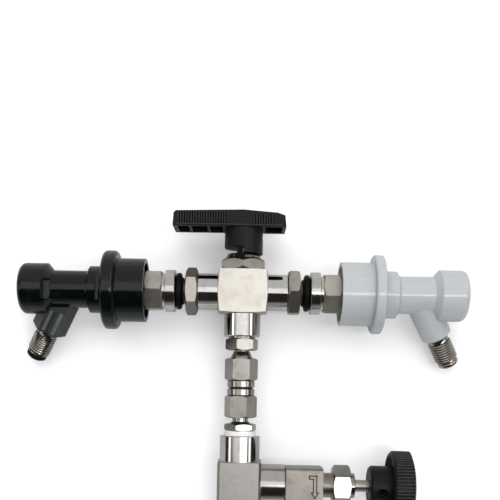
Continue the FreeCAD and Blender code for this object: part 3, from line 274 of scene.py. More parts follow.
# the packing nut, with the stop that stands on it painted near-black: painted shade in the gap
# under the handle's hub
steel("nutSteel", (0.23, 0.22, 0.195), (0.18, 0.17, 0.15),
      0.20, 0.30, (1200, 1200, 900), 0.08,
      zoneBox=((-1.7, -7.6, valveMm + 19.5), (2.2, 3.4, 4.2)),
      zoneColour=(0.012, 0.011, 0.010), zoneRough=0.5)
steel("brushedBlock", (0.70, 0.68, 0.635), (0.60, 0.555, 0.49),
      0.30, 0.46, (3600, 300, 180), 0.3)
steel("teeSteel", (0.53, 0.515, 0.50), (0.50, 0.485, 0.47),
      0.10, 0.17, (300, 300, 2600), 0.15,
      zoneBox=((0, 0, teeMm), (10.35, 30, 10.75)),
      zoneColour=(0.42, 0.40, 0.385), zoneRough=0.38)
steel("dullBlock", (0.34, 0.315, 0.29), (0.26, 0.235, 0.21),
      0.28, 0.44, (300, 300, 2600), 0.3)
# a hexagon with a painted highlight: its front flat is painted lighter where it catches the window,
# and the flats above and below are left darker
steel("leftHexSteel", (0.25, 0.238, 0.205), (0.20, 0.19, 0.165),
      0.30, 0.46, (4200, 260, 260), 0.16,
      zoneBox=((-24.5, 0, valveMm), (4.0, 30, 5.65)),
      zoneColour=(0.50, 0.47, 0.42), zoneRough=0.38)
# the needle valve's nut: its front flat is painted lighter, a painted highlight where it catches
# the window
steel("nutPaintedHighlight", (0.34, 0.325, 0.295), (0.27, 0.255, 0.23),
      0.10, 0.22, (2600, 260, 260), 0.2,
      zoneBox=((49.1, 0, teeMm), (4.6, 30, 4.8)),
      zoneColour=(0.64, 0.62, 0.58), zoneRough=0.16)
steel("studSteel", (0.46, 0.435, 0.39), (0.28, 0.25, 0.205),
      0.12, 0.26, (1500, 1500, 1500), 0.15)
# black-oxide steel for the set screws; also the flare studs' thread root, painted near-black as
# painted shade in the grooves
steel("blackSteelAndGrooveShade", (0.022, 0.020, 0.018), (0.05, 0.045, 0.038),
      0.35, 0.5, (1500, 1500, 1500), 0.2)
# the leaning port keeps the mould's satin face, and its colour is raised to a dark grey as a
# painted sheen; the turned body is glossy
plastic("blackPlastic", (0.0010, 0.0024, 0.0027), (0.0026, 0.0050, 0.0054),
        0.10, 0.2, 1600, 0.1, gloss=0.36,
        zoneBox=((-92.5, 4.0, valveMm - 19.3), (17.0, 16.0, 10.0)),
        zoneColour=(0.026, 0.030, 0.030), zoneRough=0.42)
# a lighter copy of the black plastic: painted highlight on the port's rib and land
plastic("portRibPaintedHighlight", (0.088, 0.102, 0.102), (0.070, 0.082, 0.082),
        0.32, 0.42, 1600, 0.1, gloss=0.5)
plastic("blackCap", (0.0010, 0.0024, 0.0027), (0.0038, 0.0062, 0.0066),
        0.13, 0.26, 1500, 0.14, gloss=0.38)
plastic("greyPlastic", (0.43, 0.45, 0.465), (0.40, 0.42, 0.435),
        0.09, 0.18, 1600, 0.1)
plastic("handlePlastic", (0.0045, 0.0052, 0.0062), (0.008, 0.0085, 0.009),
        0.40, 0.55, 2600, 0.35, gloss=0.2)
# a lighter copy of the handle's plastic for the ribs: painted highlight on the rib edges
plastic("gripPaintedHighlight", (0.0125, 0.0145, 0.0168), (0.015, 0.0168, 0.019),
        0.26, 0.36, 2600, 0.2, gloss=0.42)
# near-black sheets behind the handle's ribs: painted shade in the gaps
plastic("gapPaintedShade", (0.0008, 0.0010, 0.0012), (0.0012, 0.0014, 0.0016),
        0.6, 0.75, 2600, 0.1, gloss=0.05)
plastic("blackRubber", (0.004, 0.004, 0.004), (0.008, 0.008, 0.008),
        0.35, 0.5, 2200, 0.3, gloss=0.08)
plastic("stopperRubber", (0.62, 0.58, 0.50), (0.55, 0.50, 0.43),
        0.45, 0.62, 2400, 0.35)
plastic("threadTape", (0.86, 0.86, 0.85), (0.74, 0.74, 0.73),
        0.38, 0.5, 3000, 0.5)
plastic("whiteSeat", (0.80, 0.79, 0.75), (0.72, 0.71, 0.67),
        0.35, 0.5, 2000, 0.2)
plastic("etchedMark", (0.024, 0.017, 0.012), (0.045, 0.034, 0.026),
        0.5, 0.65, 2600, 0.2)
print("finishes", len(finishes))


# Mesh building blocks

def newPiece(name, mesh, finish, body, nodes):
    piece = bpy.data.objects.new(name, mesh)
    bpy.context.scene.collection.objects.link(piece)
    mesh.materials.clear()
    mesh.materials.append(finishes[finish])
    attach(piece, body)
    if nodes:
        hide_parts(*nodes)
    return piece


def meshFrom(bm, name):
    bmesh.ops.recalc_face_normals(bm, faces=bm.faces)
    mesh = bpy.data.meshes.new(name)
    bm.to_mesh(mesh)
    bm.free()
    return mesh


def addSlab(bm, frontPoints, backPoints):
    # a closed four-sided slab between two rings of points, in metres
    front = [bm.verts.new(point) for point in frontPoints]
    back = [bm.verts.new(point) for point in backPoints]
    bm.faces.new(front)
    bm.faces.new(back[::-1])
    for index in range(4):
        after = (index + 1) % 4
        bm.faces.new((front[index], back[index], back[after], front[after]))


def settleNormals(piece, sharpAngle=50):
    # shades the piece smooth, with flat faces kept flat by weighted normals
    mesh = piece.data
    mesh.shade_smooth()
    mesh.set_sharp_from_angle(angle=math.radians(sharpAngle))
    weighted = piece.modifiers.new("flats", "WEIGHTED_NORMAL")
    weighted.keep_sharp = True
    weighted.weight = 80
    graph = bpy.context.evaluated_depsgraph_get()
    graph.update()
    settled = bpy.data.meshes.new_from_object(piece.evaluated_get(graph))
    piece.modifiers.remove(weighted)
    piece.data = settled


edges = {
    "weld": 0.002, "weldAfter": 0.001,      # mm between points that become one
    "flatAngle": 0.5, "sharpAngle": 24,     # degrees
    "segments": 2, "profile": 0.55,
}


def softenEdges(mesh, width):
    # breaks the sharp edges of a CAD solid as a machinist's file or a mould would
    bm = bmesh.new()
    bm.from_mesh(mesh)
    bmesh.ops.remove_doubles(bm, verts=bm.verts, dist=edges["weld"] * mm)
    bmesh.ops.dissolve_limit(bm, angle_limit=math.radians(edges["flatAngle"]), verts=bm.verts,
                             edges=bm.edges)
    sharpAngle = math.radians(edges["sharpAngle"])
    sharp = [edge for edge in bm.edges
             if len(edge.link_faces) == 2 and edge.calc_face_angle(0) > sharpAngle]
    bmesh.ops.bevel(bm, geom=sharp, offset=width, offset_type="OFFSET",
                    segments=edges["segments"], profile=edges["profile"], affect="EDGES",
                    clamp_overlap=True, miter_outer="ARC")
    bmesh.ops.remove_doubles(bm, verts=bm.verts, dist=edges["weldAfter"] * mm)
    bmesh.ops.recalc_face_normals(bm, faces=bm.faces)
    bm.to_mesh(mesh)
    bm.free()


def dressNode(node, finish, width):
    source = frame["nodes"][node]
    mesh = source.data.copy()
    softenEdges(mesh, width * mm)
    piece = newPiece(f"{node}_look", mesh, finish, bodyOf[node], [node])
    settleNormals(piece)


# Pieces that keep the CAD solid's shape, with softened edges: finish and edge width in mm
dressed = {
    "valve_body": ("brushedBlock", 0.30),
    "side_end_connectors": ("polishedSteel", 0.15),
    "bottom_end_connector": ("polishedSteel", 0.15),
    "packing_nut": ("nutSteel", 0.15),
    "left_adapter": ("leftHexSteel", 0.15),
    "right_adapter": ("turnedAlongX", 0.15),
    "left_post": ("postSteel", 0.15),
    "right_post": ("postSteel", 0.15),
    "upper_adapter": ("turnedAlongZ", 0.42),
    "check_valve_inlet": ("turnedAlongZ", 0.42),
    "check_valve_outlet": ("turnedAlongZ", 0.42),
    "lower_adapter": ("turnedAlongZ", 0.42),
    "tee_body": ("teeSteel", 0.25),
    "needle_valve_body": ("dullBlock", 0.25),
    "needle_packing_nut": ("nutPaintedHighlight", 0.15),
    "needle_stem": ("turnedAlongX", 0.10),
    "gland_nut": ("turnedAlongZ", 0.15),
    "gland_fitting": ("turnedAlongZ", 0.15),
    "stopper_sleeve": ("polishedSteel", 0.10),
    "filling_tube": ("polishedSteel", 0.10),
    "bottle_stopper": ("stopperRubber", 0.60),
    "t_handle": ("handlePlastic", 0.45),
    "needle_knob": ("handlePlastic", 0.45),
    "post_seals": ("blackRubber", 0.15),
    "check_valve_seal": ("blackRubber", 0.05),
    "gland_ferrule": ("whiteSeat", 0.10),
    "ball_seats": ("whiteSeat", 0.10),
    "stem_packing": ("whiteSeat", 0.10),
    "needle_packing": ("whiteSeat", 0.10),
    "valve_ball": ("polishedSteel", 0.10),
    "valve_stem": ("turnedAlongZ", 0.10),
    "handle_set_screw": ("blackSteelAndGrooveShade", 0.10),
    "knob_set_screw": ("blackSteelAndGrooveShade", 0.10),
    "check_poppet": ("turnedAlongZ", 0.10),
    "post_poppets": ("turnedAlongX", 0.10),
}
for colour in ("black", "grey"):
    dressed[f"{colour}_disconnect_body"] = (f"{colour}Plastic", 0.7)
    smooth = "blackCap" if colour == "black" else "greyPlastic"
    dressed[f"{colour}_disconnect_cap"] = (smooth, 0.45)
    dressed[f"{colour}_collar"] = (smooth, 0.35)
    dressed[f"{colour}_lock_balls"] = ("studSteel", 0.05)
    dressed[f"{colour}_plunger"] = ("turnedAlongX", 0.10)
    dressed[f"{colour}_flare_tip"] = ("blackRubber" if colour == "black" else "studSteel", 0.20)

for node, (finish, width) in dressed.items():
    dressNode(node, finish, width)
print("dressed", len(dressed))


# Geometry Nodes for what repeats

def newTree(name, inputs):
    tree = bpy.data.node_groups.new(name, "GeometryNodeTree")
    for label, kind, value in inputs:
        socket = tree.interface.new_socket(label, in_out="INPUT", socket_type=kind)
        if value is not None:
            socket.default_value = value
    tree.interface.new_socket("Geometry", in_out="OUTPUT", socket_type="NodeSocketGeometry")
    return tree, tree.nodes.new("NodeGroupInput"), tree.nodes.new("NodeGroupOutput")


def finishTree(tree, given, result, shape):
    whole = tree.nodes.new("GeometryNodeRealizeInstances")
    finish = tree.nodes.new("GeometryNodeSetMaterial")
    tree.links.new(shape, whole.inputs["Geometry"])
    tree.links.new(whole.outputs["Geometry"], finish.inputs["Geometry"])
    tree.links.new(given.outputs["Finish"], finish.inputs["Material"])
    tree.links.new(finish.outputs["Geometry"], result.inputs["Geometry"])


def makeHelixTree():
    # a wire or a thread's ridge that winds along Z, with as many sides as Sides says
    tree, given, result = newTree("helix", [
        ("Turns", "NodeSocketFloat", 8.0), ("Radius", "NodeSocketFloat", 0.005),
        ("Height", "NodeSocketFloat", 0.01), ("Wire", "NodeSocketFloat", 0.0005),
        ("Sides", "NodeSocketInt", 8), ("Steps", "NodeSocketInt", 32),
        ("Finish", "NodeSocketMaterial", None)])
    spiral = tree.nodes.new("GeometryNodeCurveSpiral")
    upright = tree.nodes.new("GeometryNodeSetCurveNormal")
    upright.mode = "Z_UP"
    section = tree.nodes.new("GeometryNodeCurvePrimitiveCircle")
    solid = tree.nodes.new("GeometryNodeCurveToMesh")
    solid.inputs["Fill Caps"].default_value = True
    for label, socket in (("Turns", "Rotations"), ("Radius", "Start Radius"),
                          ("Radius", "End Radius"), ("Height", "Height"), ("Steps", "Resolution")):
        tree.links.new(given.outputs[label], spiral.inputs[socket])
    tree.links.new(given.outputs["Sides"], section.inputs["Resolution"])
    tree.links.new(given.outputs["Wire"], section.inputs["Radius"])
    tree.links.new(spiral.outputs["Curve"], upright.inputs["Curve"])
    tree.links.new(upright.outputs["Curve"], solid.inputs["Curve"])
    tree.links.new(section.outputs["Curve"], solid.inputs["Profile Curve"])
    finishTree(tree, given, result, solid.outputs["Mesh"])
    return tree


rodSides = 10


def makeRod(tree, given):
    # one rib: a round rod along Z
    line = tree.nodes.new("GeometryNodeCurvePrimitiveLine")
    top = tree.nodes.new("ShaderNodeCombineXYZ")
    section = tree.nodes.new("GeometryNodeCurvePrimitiveCircle")
    section.inputs["Resolution"].default_value = rodSides
    solid = tree.nodes.new("GeometryNodeCurveToMesh")
    solid.inputs["Fill Caps"].default_value = True
    tree.links.new(given.outputs["Length"], top.inputs["Z"])
    tree.links.new(top.outputs["Vector"], line.inputs["End"])
    tree.links.new(given.outputs["Rib"], section.inputs["Radius"])
    tree.links.new(line.outputs["Curve"], solid.inputs["Curve"])
    tree.links.new(section.outputs["Curve"], solid.inputs["Profile Curve"])
    return solid.outputs["Mesh"]


def makeRibTree(inCircle):
    # ribs in a row along X, or round a circle about Z
    tree, given, result = newTree("ribsRound" if inCircle else "ribsInRow", [
        ("Count", "NodeSocketInt", 10), ("Spread", "NodeSocketFloat", 0.0012),
        ("Length", "NodeSocketFloat", 0.006), ("Rib", "NodeSocketFloat", 0.0004),
        ("Finish", "NodeSocketMaterial", None)])
    if inCircle:
        points = tree.nodes.new("GeometryNodeMeshCircle")
        tree.links.new(given.outputs["Count"], points.inputs["Vertices"])
        tree.links.new(given.outputs["Spread"], points.inputs["Radius"])
    else:
        points = tree.nodes.new("GeometryNodeMeshLine")
        apart = tree.nodes.new("ShaderNodeCombineXYZ")
        tree.links.new(given.outputs["Spread"], apart.inputs["X"])
        tree.links.new(given.outputs["Count"], points.inputs["Count"])
        tree.links.new(apart.outputs["Vector"], points.inputs["Offset"])
    copies = tree.nodes.new("GeometryNodeInstanceOnPoints")
    tree.links.new(points.outputs["Mesh"], copies.inputs["Points"])
    tree.links.new(makeRod(tree, given), copies.inputs["Instance"])
    finishTree(tree, given, result, copies.outputs["Instances"])
    return tree


helix = makeHelixTree()
ribsInRow = makeRibTree(False)
ribsRound = makeRibTree(True)


def grow(tree, finish, place, **values):
    # runs a tree, and returns its mesh moved to its place
    carrier = bpy.data.objects.new("carrier", bpy.data.meshes.new("carrier"))
    bpy.context.scene.collection.objects.link(carrier)
    modifier = carrier.modifiers.new("grow", "NODES")
    modifier.node_group = tree
    values["Finish"] = finishes[finish]
    for item in tree.interface.items_tree:
        if item.item_type == "SOCKET" and item.in_out == "INPUT":
            modifier[item.identifier] = values[item.name]
    graph = bpy.context.evaluated_depsgraph_get()
    graph.update()
    mesh = bpy.data.meshes.new_from_object(carrier.evaluated_get(graph))
    bpy.data.objects.remove(carrier)
    mesh.transform(place)
    return mesh


def joinMeshes(name, meshes):
    bm = bmesh.new()
    for mesh in meshes:
        bm.from_mesh(mesh)
    return meshFrom(bm, name)


def axisPlace(origin, direction):
    # turns Z to the direction and moves to the origin, both in metres
    turn = Vector(direction).to_track_quat("Z", "Y").to_matrix().to_4x4()
    return Matrix.Translation(Vector(origin)) @ turn


def lathe(name, outline, place, steps=96, wobble=None):
    # a closed outline of (along, radius) in mm, turned about Z
    bm = bmesh.new()
    rings = []
    for along, radius in outline:
        ring = []
        for step in range(steps):
            angle = 2 * math.pi * step / steps
            reach, rise = wobble(angle, along, radius) if wobble else (radius, along)
            ring.append(bm.verts.new((reach * mm * math.cos(angle), reach * mm * math.sin(angle),
                                      rise * mm)))
        rings.append(ring)
    for first, second in zip(rings, rings[1:] + rings[:1]):
        for step in range(steps):
            after = (step + 1) % steps
            bm.faces.new((first[step], first[after], second[after], second[step]))
    mesh = meshFrom(bm, name)
    mesh.transform(place)
    return mesh


# Handle: grip ribs on its two long faces, and a lip along the lower edges, in a lighter copy of the
# handle's plastic as painted highlight, with painted shade between the ribs

grip = {
    # where the ribs start, in mm, how many there are and how tall
    "left": (-31.0, 20, 5.2), "right": (4.7, 8, 4.5),
    "pitch": 1.22, "rib": 0.36, "proud": 0.12,
    "bar": 7.8,       # from the handle's top down to the bar's lower face
    "foot": 1.5,      # from there up to the ribs
    "panel": 0.04, "panelMargin": 0.5,
    "lipRadius": 0.55, "lipInset": 1.0, "lipRise": 0.7, "lipShort": 2.4,
}


def makePanel(left, right, bottom, top, level):
    # a thin sheet painted near-black behind the ribs, as painted shade in the gaps between them:
    # its front stands just off the handle's face
    thin = grip["panel"] * mm
    front, back = level + math.copysign(thin, level), level - math.copysign(thin, level)
    corners = ((left, bottom), (right, bottom), (right, top), (left, top))
    bm = bmesh.new()
    addSlab(bm, *([(x, y, z) for x, z in corners] for y in (front, back)))
    return meshFrom(bm, "panel")


def makeGrip():
    low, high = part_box("t_handle")
    depth, foot, margin = high[1], grip["foot"], grip["panelMargin"]
    bar = high[2] - grip["bar"] * mm
    panels, shapes = [], []
    for face in (-1, 1):
        level = face * (depth + grip["proud"] * mm)
        for start, count, height in (grip["left"], grip["right"]):
            reach = (count - 1) * grip["pitch"]
            panels.append(makePanel((start - margin) * mm, (start + reach + margin) * mm,
                                    bar + foot * mm, bar + (foot + height) * mm, face * depth))
            shapes.append(grow(ribsInRow, "gripPaintedHighlight",
                               Matrix.Translation((start * mm, level, bar + foot * mm)),
                               Count=count, Spread=grip["pitch"] * mm, Length=height * mm,
                               Rib=grip["rib"] * mm))
        lip = axisPlace((low[0] + grip["lipInset"] * mm, level, bar + grip["lipRise"] * mm),
                        (1, 0, 0))
        shapes.append(grow(ribsInRow, "gripPaintedHighlight", lip, Count=1, Spread=0.001,
                           Length=high[0] - low[0] - grip["lipShort"] * mm,
                           Rib=grip["lipRadius"] * mm))
    piece = newPiece("handle_grip", joinMeshes("handle_grip", shapes), "gripPaintedHighlight", "handle",
                     [])
    settleNormals(piece, 40)
    # the sheets behind the ribs, painted near-black as painted shade
    newPiece("handle_gap_shade", joinMeshes("handle_gap_shade", panels), "gapPaintedShade", "handle", [])


# Knob: fine ribs round its rim, in the lighter copy of the plastic as painted highlight

rim = {"count": 66, "radius": 16.72, "rib": 0.5, "width": 10.2, "margin": 1.0}


def makeRim():
    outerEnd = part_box("needle_knob")[1][0]
    wheel = outerEnd - rim["width"] * mm
    length = rim["width"] - 2 * rim["margin"]
    place = axisPlace((wheel + rim["margin"] * mm, 0, teeLevel), (1, 0, 0))
    mesh = grow(ribsRound, "gripPaintedHighlight", place, Count=rim["count"],
                Spread=rim["radius"] * mm, Length=length * mm, Rib=rim["rib"] * mm)
    piece = newPiece("knob_rim", mesh, "gripPaintedHighlight", "knob", [])
    settleNormals(piece, 40)


# Flare studs: a turned neck and a rolled thread of 20 turns an inch

flare = {
    "centre": 31.375,      # from the port's root to the middle of the thread, mm
    "threadStart": 26.5, "threadEnd": 36.2, "pitch": 1.27, "ridge": 0.50,
    "crest": 5.55, "ridgeSides": 4, "ridgeSteps": 40,
    "neck": [(16.3, 2.1), (16.3, 4.95), (23.25, 4.95), (23.25, 5.3), (23.45, 5.5), (24.1, 5.5),
             (24.3, 5.3), (24.6, 4.75), (25.4, 4.75), (25.7, 4.9), (26.0, 4.95), (26.1, 4.9),
             (26.1, 2.1)],
    "root": [(25.9, 2.3), (25.9, 4.82), (36.6, 4.82), (36.6, 2.3)],
    "end": [(36.35, 2.1), (36.35, 4.6), (36.5, 5.0), (36.9, 5.1), (37.3, 4.85), (37.7, 4.3),
            (37.7, 2.1)],
}


def portOf(colour):
    # the port's root, in metres, and the way it points
    mount = next(one for one in record["mounts"] if one["name"] == f"{colour}_flare")
    out = Vector(mount["axis"])
    return Vector(mount["pos_m"]) - out * flare["centre"] * mm, out


def makeFlareStud(colour):
    node = f"{colour}_flare_stud"
    start, out = portOf(colour)
    length = flare["threadEnd"] - flare["threadStart"]
    body = f"{colour}_disconnect"
    thread = grow(helix, "studSteel", axisPlace(start + out * flare["threadStart"] * mm, out),
                  Turns=length / flare["pitch"], Radius=(flare["crest"] - flare["ridge"]) * mm,
                  Height=length * mm, Wire=flare["ridge"] * mm, Sides=flare["ridgeSides"],
                  Steps=flare["ridgeSteps"])
    bright = [lathe(node, flare[part], axisPlace(start, out)) for part in ("neck", "end")]
    piece = newPiece(f"{node}_look", joinMeshes(node, [*bright, thread]), "studSteel", body,
                     [node])
    settleNormals(piece, 35)
    # the thread's root in near-black: painted shade in the grooves between the ridges
    root = newPiece(f"{colour}_thread_root", lathe(node, flare["root"], axisPlace(start, out)),
                    "blackSteelAndGrooveShade", body, [])
    settleNormals(root, 35)


# Black port: a moulded rib and a raised land beside the groove in its front face, in a lighter copy
# of the black plastic as painted highlight

portRibs = {
    "face": 7.45,      # half the port's width across its flats, mm
    # across the face, from, to, radius, how far the rod stands above the face
    "ribs": [(-1.95, 10.5, 21.8, 0.9, 0.42), (2.75, 10.0, 22.2, 2.4, 0.28)],
}


def makePortRibs():
    start, out = portOf("black")
    front = Vector((1, 0, 0)).cross(out).normalized()
    if front.y > 0:
        front = -front
    aside = out.cross(front).normalized()
    if aside.x < 0:
        aside = -aside
    shapes = []
    for offset, near, far, radius, proud in portRibs["ribs"]:
        level = portRibs["face"] + proud - radius
        foot = start + (out * near + front * level + aside * offset) * mm
        shapes.append(grow(ribsInRow, "portRibPaintedHighlight", axisPlace(foot, out), Count=1, Spread=0.001,
                           Length=(far - near) * mm, Rib=radius * mm))
    piece = newPiece("black_port_ribs", joinMeshes("black_port_ribs", shapes), "portRibPaintedHighlight",
                     "black_disconnect", [])
    settleNormals(piece, 50)


# Springs: round wire in place of each plain sleeve

springs = {
    # node: axis, turns, the joint that presses it, the joint's travel in mm, and where along
    # the axis the spring's fixed end is, in metres
    "check_spring": ("Z", 5.5, "check_lift", 2.0, 0.1009),
    "black_collar_spring": ("X", 2.0, "black_collar_pull", 3.6, -0.06175),
    "grey_collar_spring": ("X", 2.0, "grey_collar_pull", 3.6, 0.06175),
    "black_plunger_spring": ("X", 9.0, None, 0, 0),
    "grey_plunger_spring": ("X", 9.0, None, 0, 0),
    "poppet_springs": ("X", 5.0, None, 0, 0),
}
coil = {"thinner": 0.95, "sides": 8, "steps": 36}      # the wire against the sleeve's wall


def makeSpring(node, axis, turns, joint, travel, fixedEnd):
    along = "XYZ".index(axis)
    points = [vertex.co.copy() for vertex in frame["nodes"][node].data.vertices]
    sides = (-1, 1) if node == "poppet_springs" else (0,)
    coils = []
    for side in sides:
        mine = [point for point in points if point[along] * side >= 0]
        low, high = min(p[along] for p in mine), max(p[along] for p in mine)
        across = [math.hypot(p.y, p.z - valveLevel) if axis == "X" else math.hypot(p.x, p.y)
                  for p in mine]
        wire = (max(across) - min(across)) / 2
        origin = Vector((low + wire, 0, valveLevel)) if axis == "X" else Vector((0, 0, low + wire))
        direction = (1, 0, 0) if axis == "X" else (0, 0, 1)
        coils.append(grow(helix, "studSteel", axisPlace(origin, direction), Turns=turns,
                          Radius=max(across) - wire, Height=high - low - 2 * wire,
                          Wire=wire * coil["thinner"], Sides=coil["sides"],
                          Steps=coil["steps"]))
    piece = newPiece(f"{node}_look", joinMeshes(node, coils), "studSteel", bodyOf[node], [node])
    settleNormals(piece, 60)
    if joint:
        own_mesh(piece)


# Seals between adapters and posts, and the tape round the tee's upper thread

sealShape = {
    "start": 28.1,
    "outline": [(0.0, 5.62), (0.0, 6.3), (0.9, 6.5), (1.05, 7.6), (1.3, 8.3), (1.75, 8.68),
                (2.4, 8.8), (3.05, 8.68), (3.5, 8.3), (3.8, 7.6), (3.98, 6.9), (3.98, 5.62)],
}
tapeShape = {"low": 85.7, "high": 88.3, "radius": 7.9, "inner": 6.75, "wraps": 3, "ripple": 0.16}


def makeSeals():
    rings = [lathe("seal", [(sealShape["start"] + along, radius)
                            for along, radius in sealShape["outline"]],
                   axisPlace((0, 0, valveLevel), (side, 0, 0))) for side in (-1, 1)]
    piece = newPiece("junction_seals_look", joinMeshes("junction_seals", rings), "blackRubber",
                     "filler", ["junction_seals"])
    settleNormals(piece, 70)


def makeTape():
    low, high, radius = tapeShape["low"], tapeShape["high"], tapeShape["radius"]
    span = high - low
    wrapped = span - 0.4
    step = wrapped / tapeShape["wraps"]
    outline = [(low, tapeShape["inner"]), (low, radius - 0.55), (low + 0.12, radius - 0.22)]
    for wrap in range(tapeShape["wraps"]):
        start = low + 0.2 + wrap * wrapped / tapeShape["wraps"]
        outline += [(start, radius - 0.18), (start + 0.3 * step, radius - 0.02),
                    (start + 0.75 * step, radius - 0.06), (start + 0.93 * step, radius - 0.24)]
    outline += [(high - 0.1, radius - 0.3), (high, radius - 0.7), (high, tapeShape["inner"])]

    def crease(angle, along, reach):
        if reach < tapeShape["inner"] + 0.1:
            return reach, along
        fold = (math.sin(7 * angle + 2.1 * along) + 0.6 * math.sin(17 * angle - 3.7 * along)
                + 0.35 * math.sin(41 * angle + 5.0 * along))
        edge = 0.12 * math.sin(5 * angle + 1.3) + 0.08 * math.sin(13 * angle)
        return (reach - tapeShape["ripple"] * (0.55 + 0.28 * fold),
                min(high, max(low, along + edge * (along - low) / span)))

    mesh = lathe("tape", outline, Matrix.Identity(4), steps=180, wobble=crease)
    piece = newPiece("thread_tape_look", mesh, "threadTape", "filler", ["thread_tape"])
    settleNormals(piece, 60)


# Needle valve block: the usual bent flow arrow of an angle valve, etched on its face

arrow = {
    "face": 8.6, "proud": 0.02, "deep": 0.1, "line": 0.56,
    "left": 33.3, "right": 36.8, "top": 5.2, "bend": 1.5,
    "tip": -5.4, "headLength": 2.6, "headSide": 0.88,
}


def makeFlowArrow():
    line, left, right = arrow["line"], arrow["left"], arrow["right"]
    top, tip, bend, side = arrow["top"], arrow["tip"], arrow["bend"], arrow["headSide"]
    neck, inner = tip + arrow["headLength"], right - bend
    strips = [
        [(left, top), (right, top), (right, neck)],
        [(left, top - bend), (inner, top - bend), (inner, neck)],
        [(left, top), (left, top - bend)],
        [(right, neck), (right + side, neck)],
        [(inner, neck), (inner - side, neck)],
        [(inner - side, neck), (right - bend / 2, tip), (right + side, neck)],
    ]
    bm = bmesh.new()
    level = -(arrow["face"] + arrow["proud"])
    for strip in strips:
        for (x0, z0), (x1, z1) in zip(strip, strip[1:]):
            along = Vector((x1 - x0, 0, z1 - z0)).normalized()
            across = Vector((-along.z, 0, along.x)) * line / 2
            start = Vector((x0, level, z0)) - along * line / 2
            end = Vector((x1, level, z1)) + along * line / 2
            ring = [start - across, end - across, end + across, start + across]
            addSlab(bm, [point * mm for point in ring],
                    [(point + Vector((0, arrow["deep"], 0))) * mm for point in ring])
    mesh = meshFrom(bm, "flow_arrow")
    mesh.transform(Matrix.Translation((0, 0, teeLevel)))
    newPiece("flow_arrow", mesh, "etchedMark", "filler", [])


makeGrip()
makeRim()
for colour in ("black", "grey"):
    makeFlareStud(colour)
for node, values in springs.items():
    makeSpring(node, *values)
makePortRibs()
makeSeals()
makeTape()
makeFlowArrow()
print("ribs, threads, springs, seals, tape and arrow")


# Table, light and camera: the object lies on a white table, seen from above

stageSizes = {
    "tableDepth": 19.4 * mm,      # the flanges rest on it
    "tableHalf": 1.6,
    "tableGlow": 0.13, "glowColour": (0.98, 0.99, 1, 1),
    "tableColour": (0.90, 0.905, 0.915), "tableRoughness": 0.6,
    "tableMirrored": (0.56, 0.565, 0.575),    # how pale the table is in the steel's reflections
    "lampFar": 0.95, "lampForward": 0.9,      # the lamps' distance in metres, and its share in -Y
    "aimBelow": 0.03,                         # metres under the valve's axis
}
lamps = {
    # place across in metres and above the valve in lamp distances, size in metres, power in watts
    "windowLamp": {"across": -0.1, "above": 0.75, "size": (1.1, 0.9), "power": 6.5},
    "fillLamp": {"across": 0.1, "above": -0.8, "size": (1.2, 0.9), "power": 6.0},
}


def makeTable():
    half, depth = stageSizes["tableHalf"], stageSizes["tableDepth"]
    corners = [(-half, depth, -half), (half, depth, -half), (half, depth, half),
               (-half, depth, half)]
    mesh = bpy.data.meshes.new("table")
    mesh.from_pydata(corners, [], [(0, 1, 2, 3)])
    table = bpy.data.objects.new("table", mesh)
    bpy.context.scene.collection.objects.link(table)
    material, tree, shader = newMaterial("tableWhite")
    shader.inputs["Roughness"].default_value = stageSizes["tableRoughness"]
    seen = addNode(tree, "ShaderNodeLightPath")
    tree.links.new(mixColours(tree, seen.outputs["Is Glossy Ray"], stageSizes["tableColour"],
                              stageSizes["tableMirrored"]), shader.inputs["Base Color"])
    share = addNode(tree, "ShaderNodeMath", operation="MULTIPLY")
    share.inputs[1].default_value = stageSizes["tableGlow"]
    glow = addNode(tree, "ShaderNodeEmission", Color=stageSizes["glowColour"])
    both = addNode(tree, "ShaderNodeAddShader")
    tree.links.new(seen.outputs["Is Camera Ray"], share.inputs[0])
    tree.links.new(share.outputs["Value"], glow.inputs["Strength"])
    tree.links.new(shader.outputs["BSDF"], both.inputs[0])
    tree.links.new(glow.outputs["Emission"], both.inputs[1])
    side = addNode(tree, "ShaderNodeNewGeometry")
    clear = addNode(tree, "ShaderNodeBsdfTransparent")
    oneSided = addNode(tree, "ShaderNodeMixShader")
    tree.links.new(side.outputs["Backfacing"], oneSided.inputs[0])
    tree.links.new(both.outputs["Shader"], oneSided.inputs[1])
    tree.links.new(clear.outputs["BSDF"], oneSided.inputs[2])
    tree.links.new(oneSided.outputs["Shader"], tree.nodes["Material Output"].inputs["Surface"])
    mesh.materials.append(material)


def addLamp(name, place, aim, size, power):
    data = bpy.data.lights.new(name, "AREA")
    data.shape = "RECTANGLE"
    data.size, data.size_y = size
    data.energy = power
    lamp = bpy.data.objects.new(name, data)
    bpy.context.scene.collection.objects.link(lamp)
    lamp.location = place
    lamp.rotation_euler = (Vector(aim) - Vector(place)).to_track_quat("-Z", "Y").to_euler()
    lamp.visible_glossy = False


room = {
    # brightness of each part, and the start and end of each fade: angles in radians, or shares
    # of the view's direction for the wall
    "base": 0.022,
    "above": 0.64, "low": (-0.17, -0.09),
    "wallEdge": (0.6, 0.92), "wallTop": (0.25, 0.6), "wallDrop": 0.8,
    "strip": 0.6, "high": (0.33, 0.46), "wide": (0.5, 0.8),
    "line": 5.5, "lineLow": (-0.155, -0.13), "lineHigh": (-0.01, 0.02),
    "lineLeft": (0.06, 0.10), "lineRight": (0.6, 0.8),
    "side": 5.0, "sideLow": (0.25, 0.4), "sideHigh": (0.8, 0.95),
    "sideLeft": (0.82, 0.85), "sideRight": (0.92, 0.95),
    "edge": 2.6, "edgeLow": (-0.35, -0.3), "edgeHigh": (0.3, 0.35),
    "edgeNear": (0.92, 0.97), "edgeFar": (1.12, 1.17),
    "floor": 0.3, "floorHigh": (-1.45, -1.05),
    "colour": (1.0, 0.99, 0.975, 1),
}


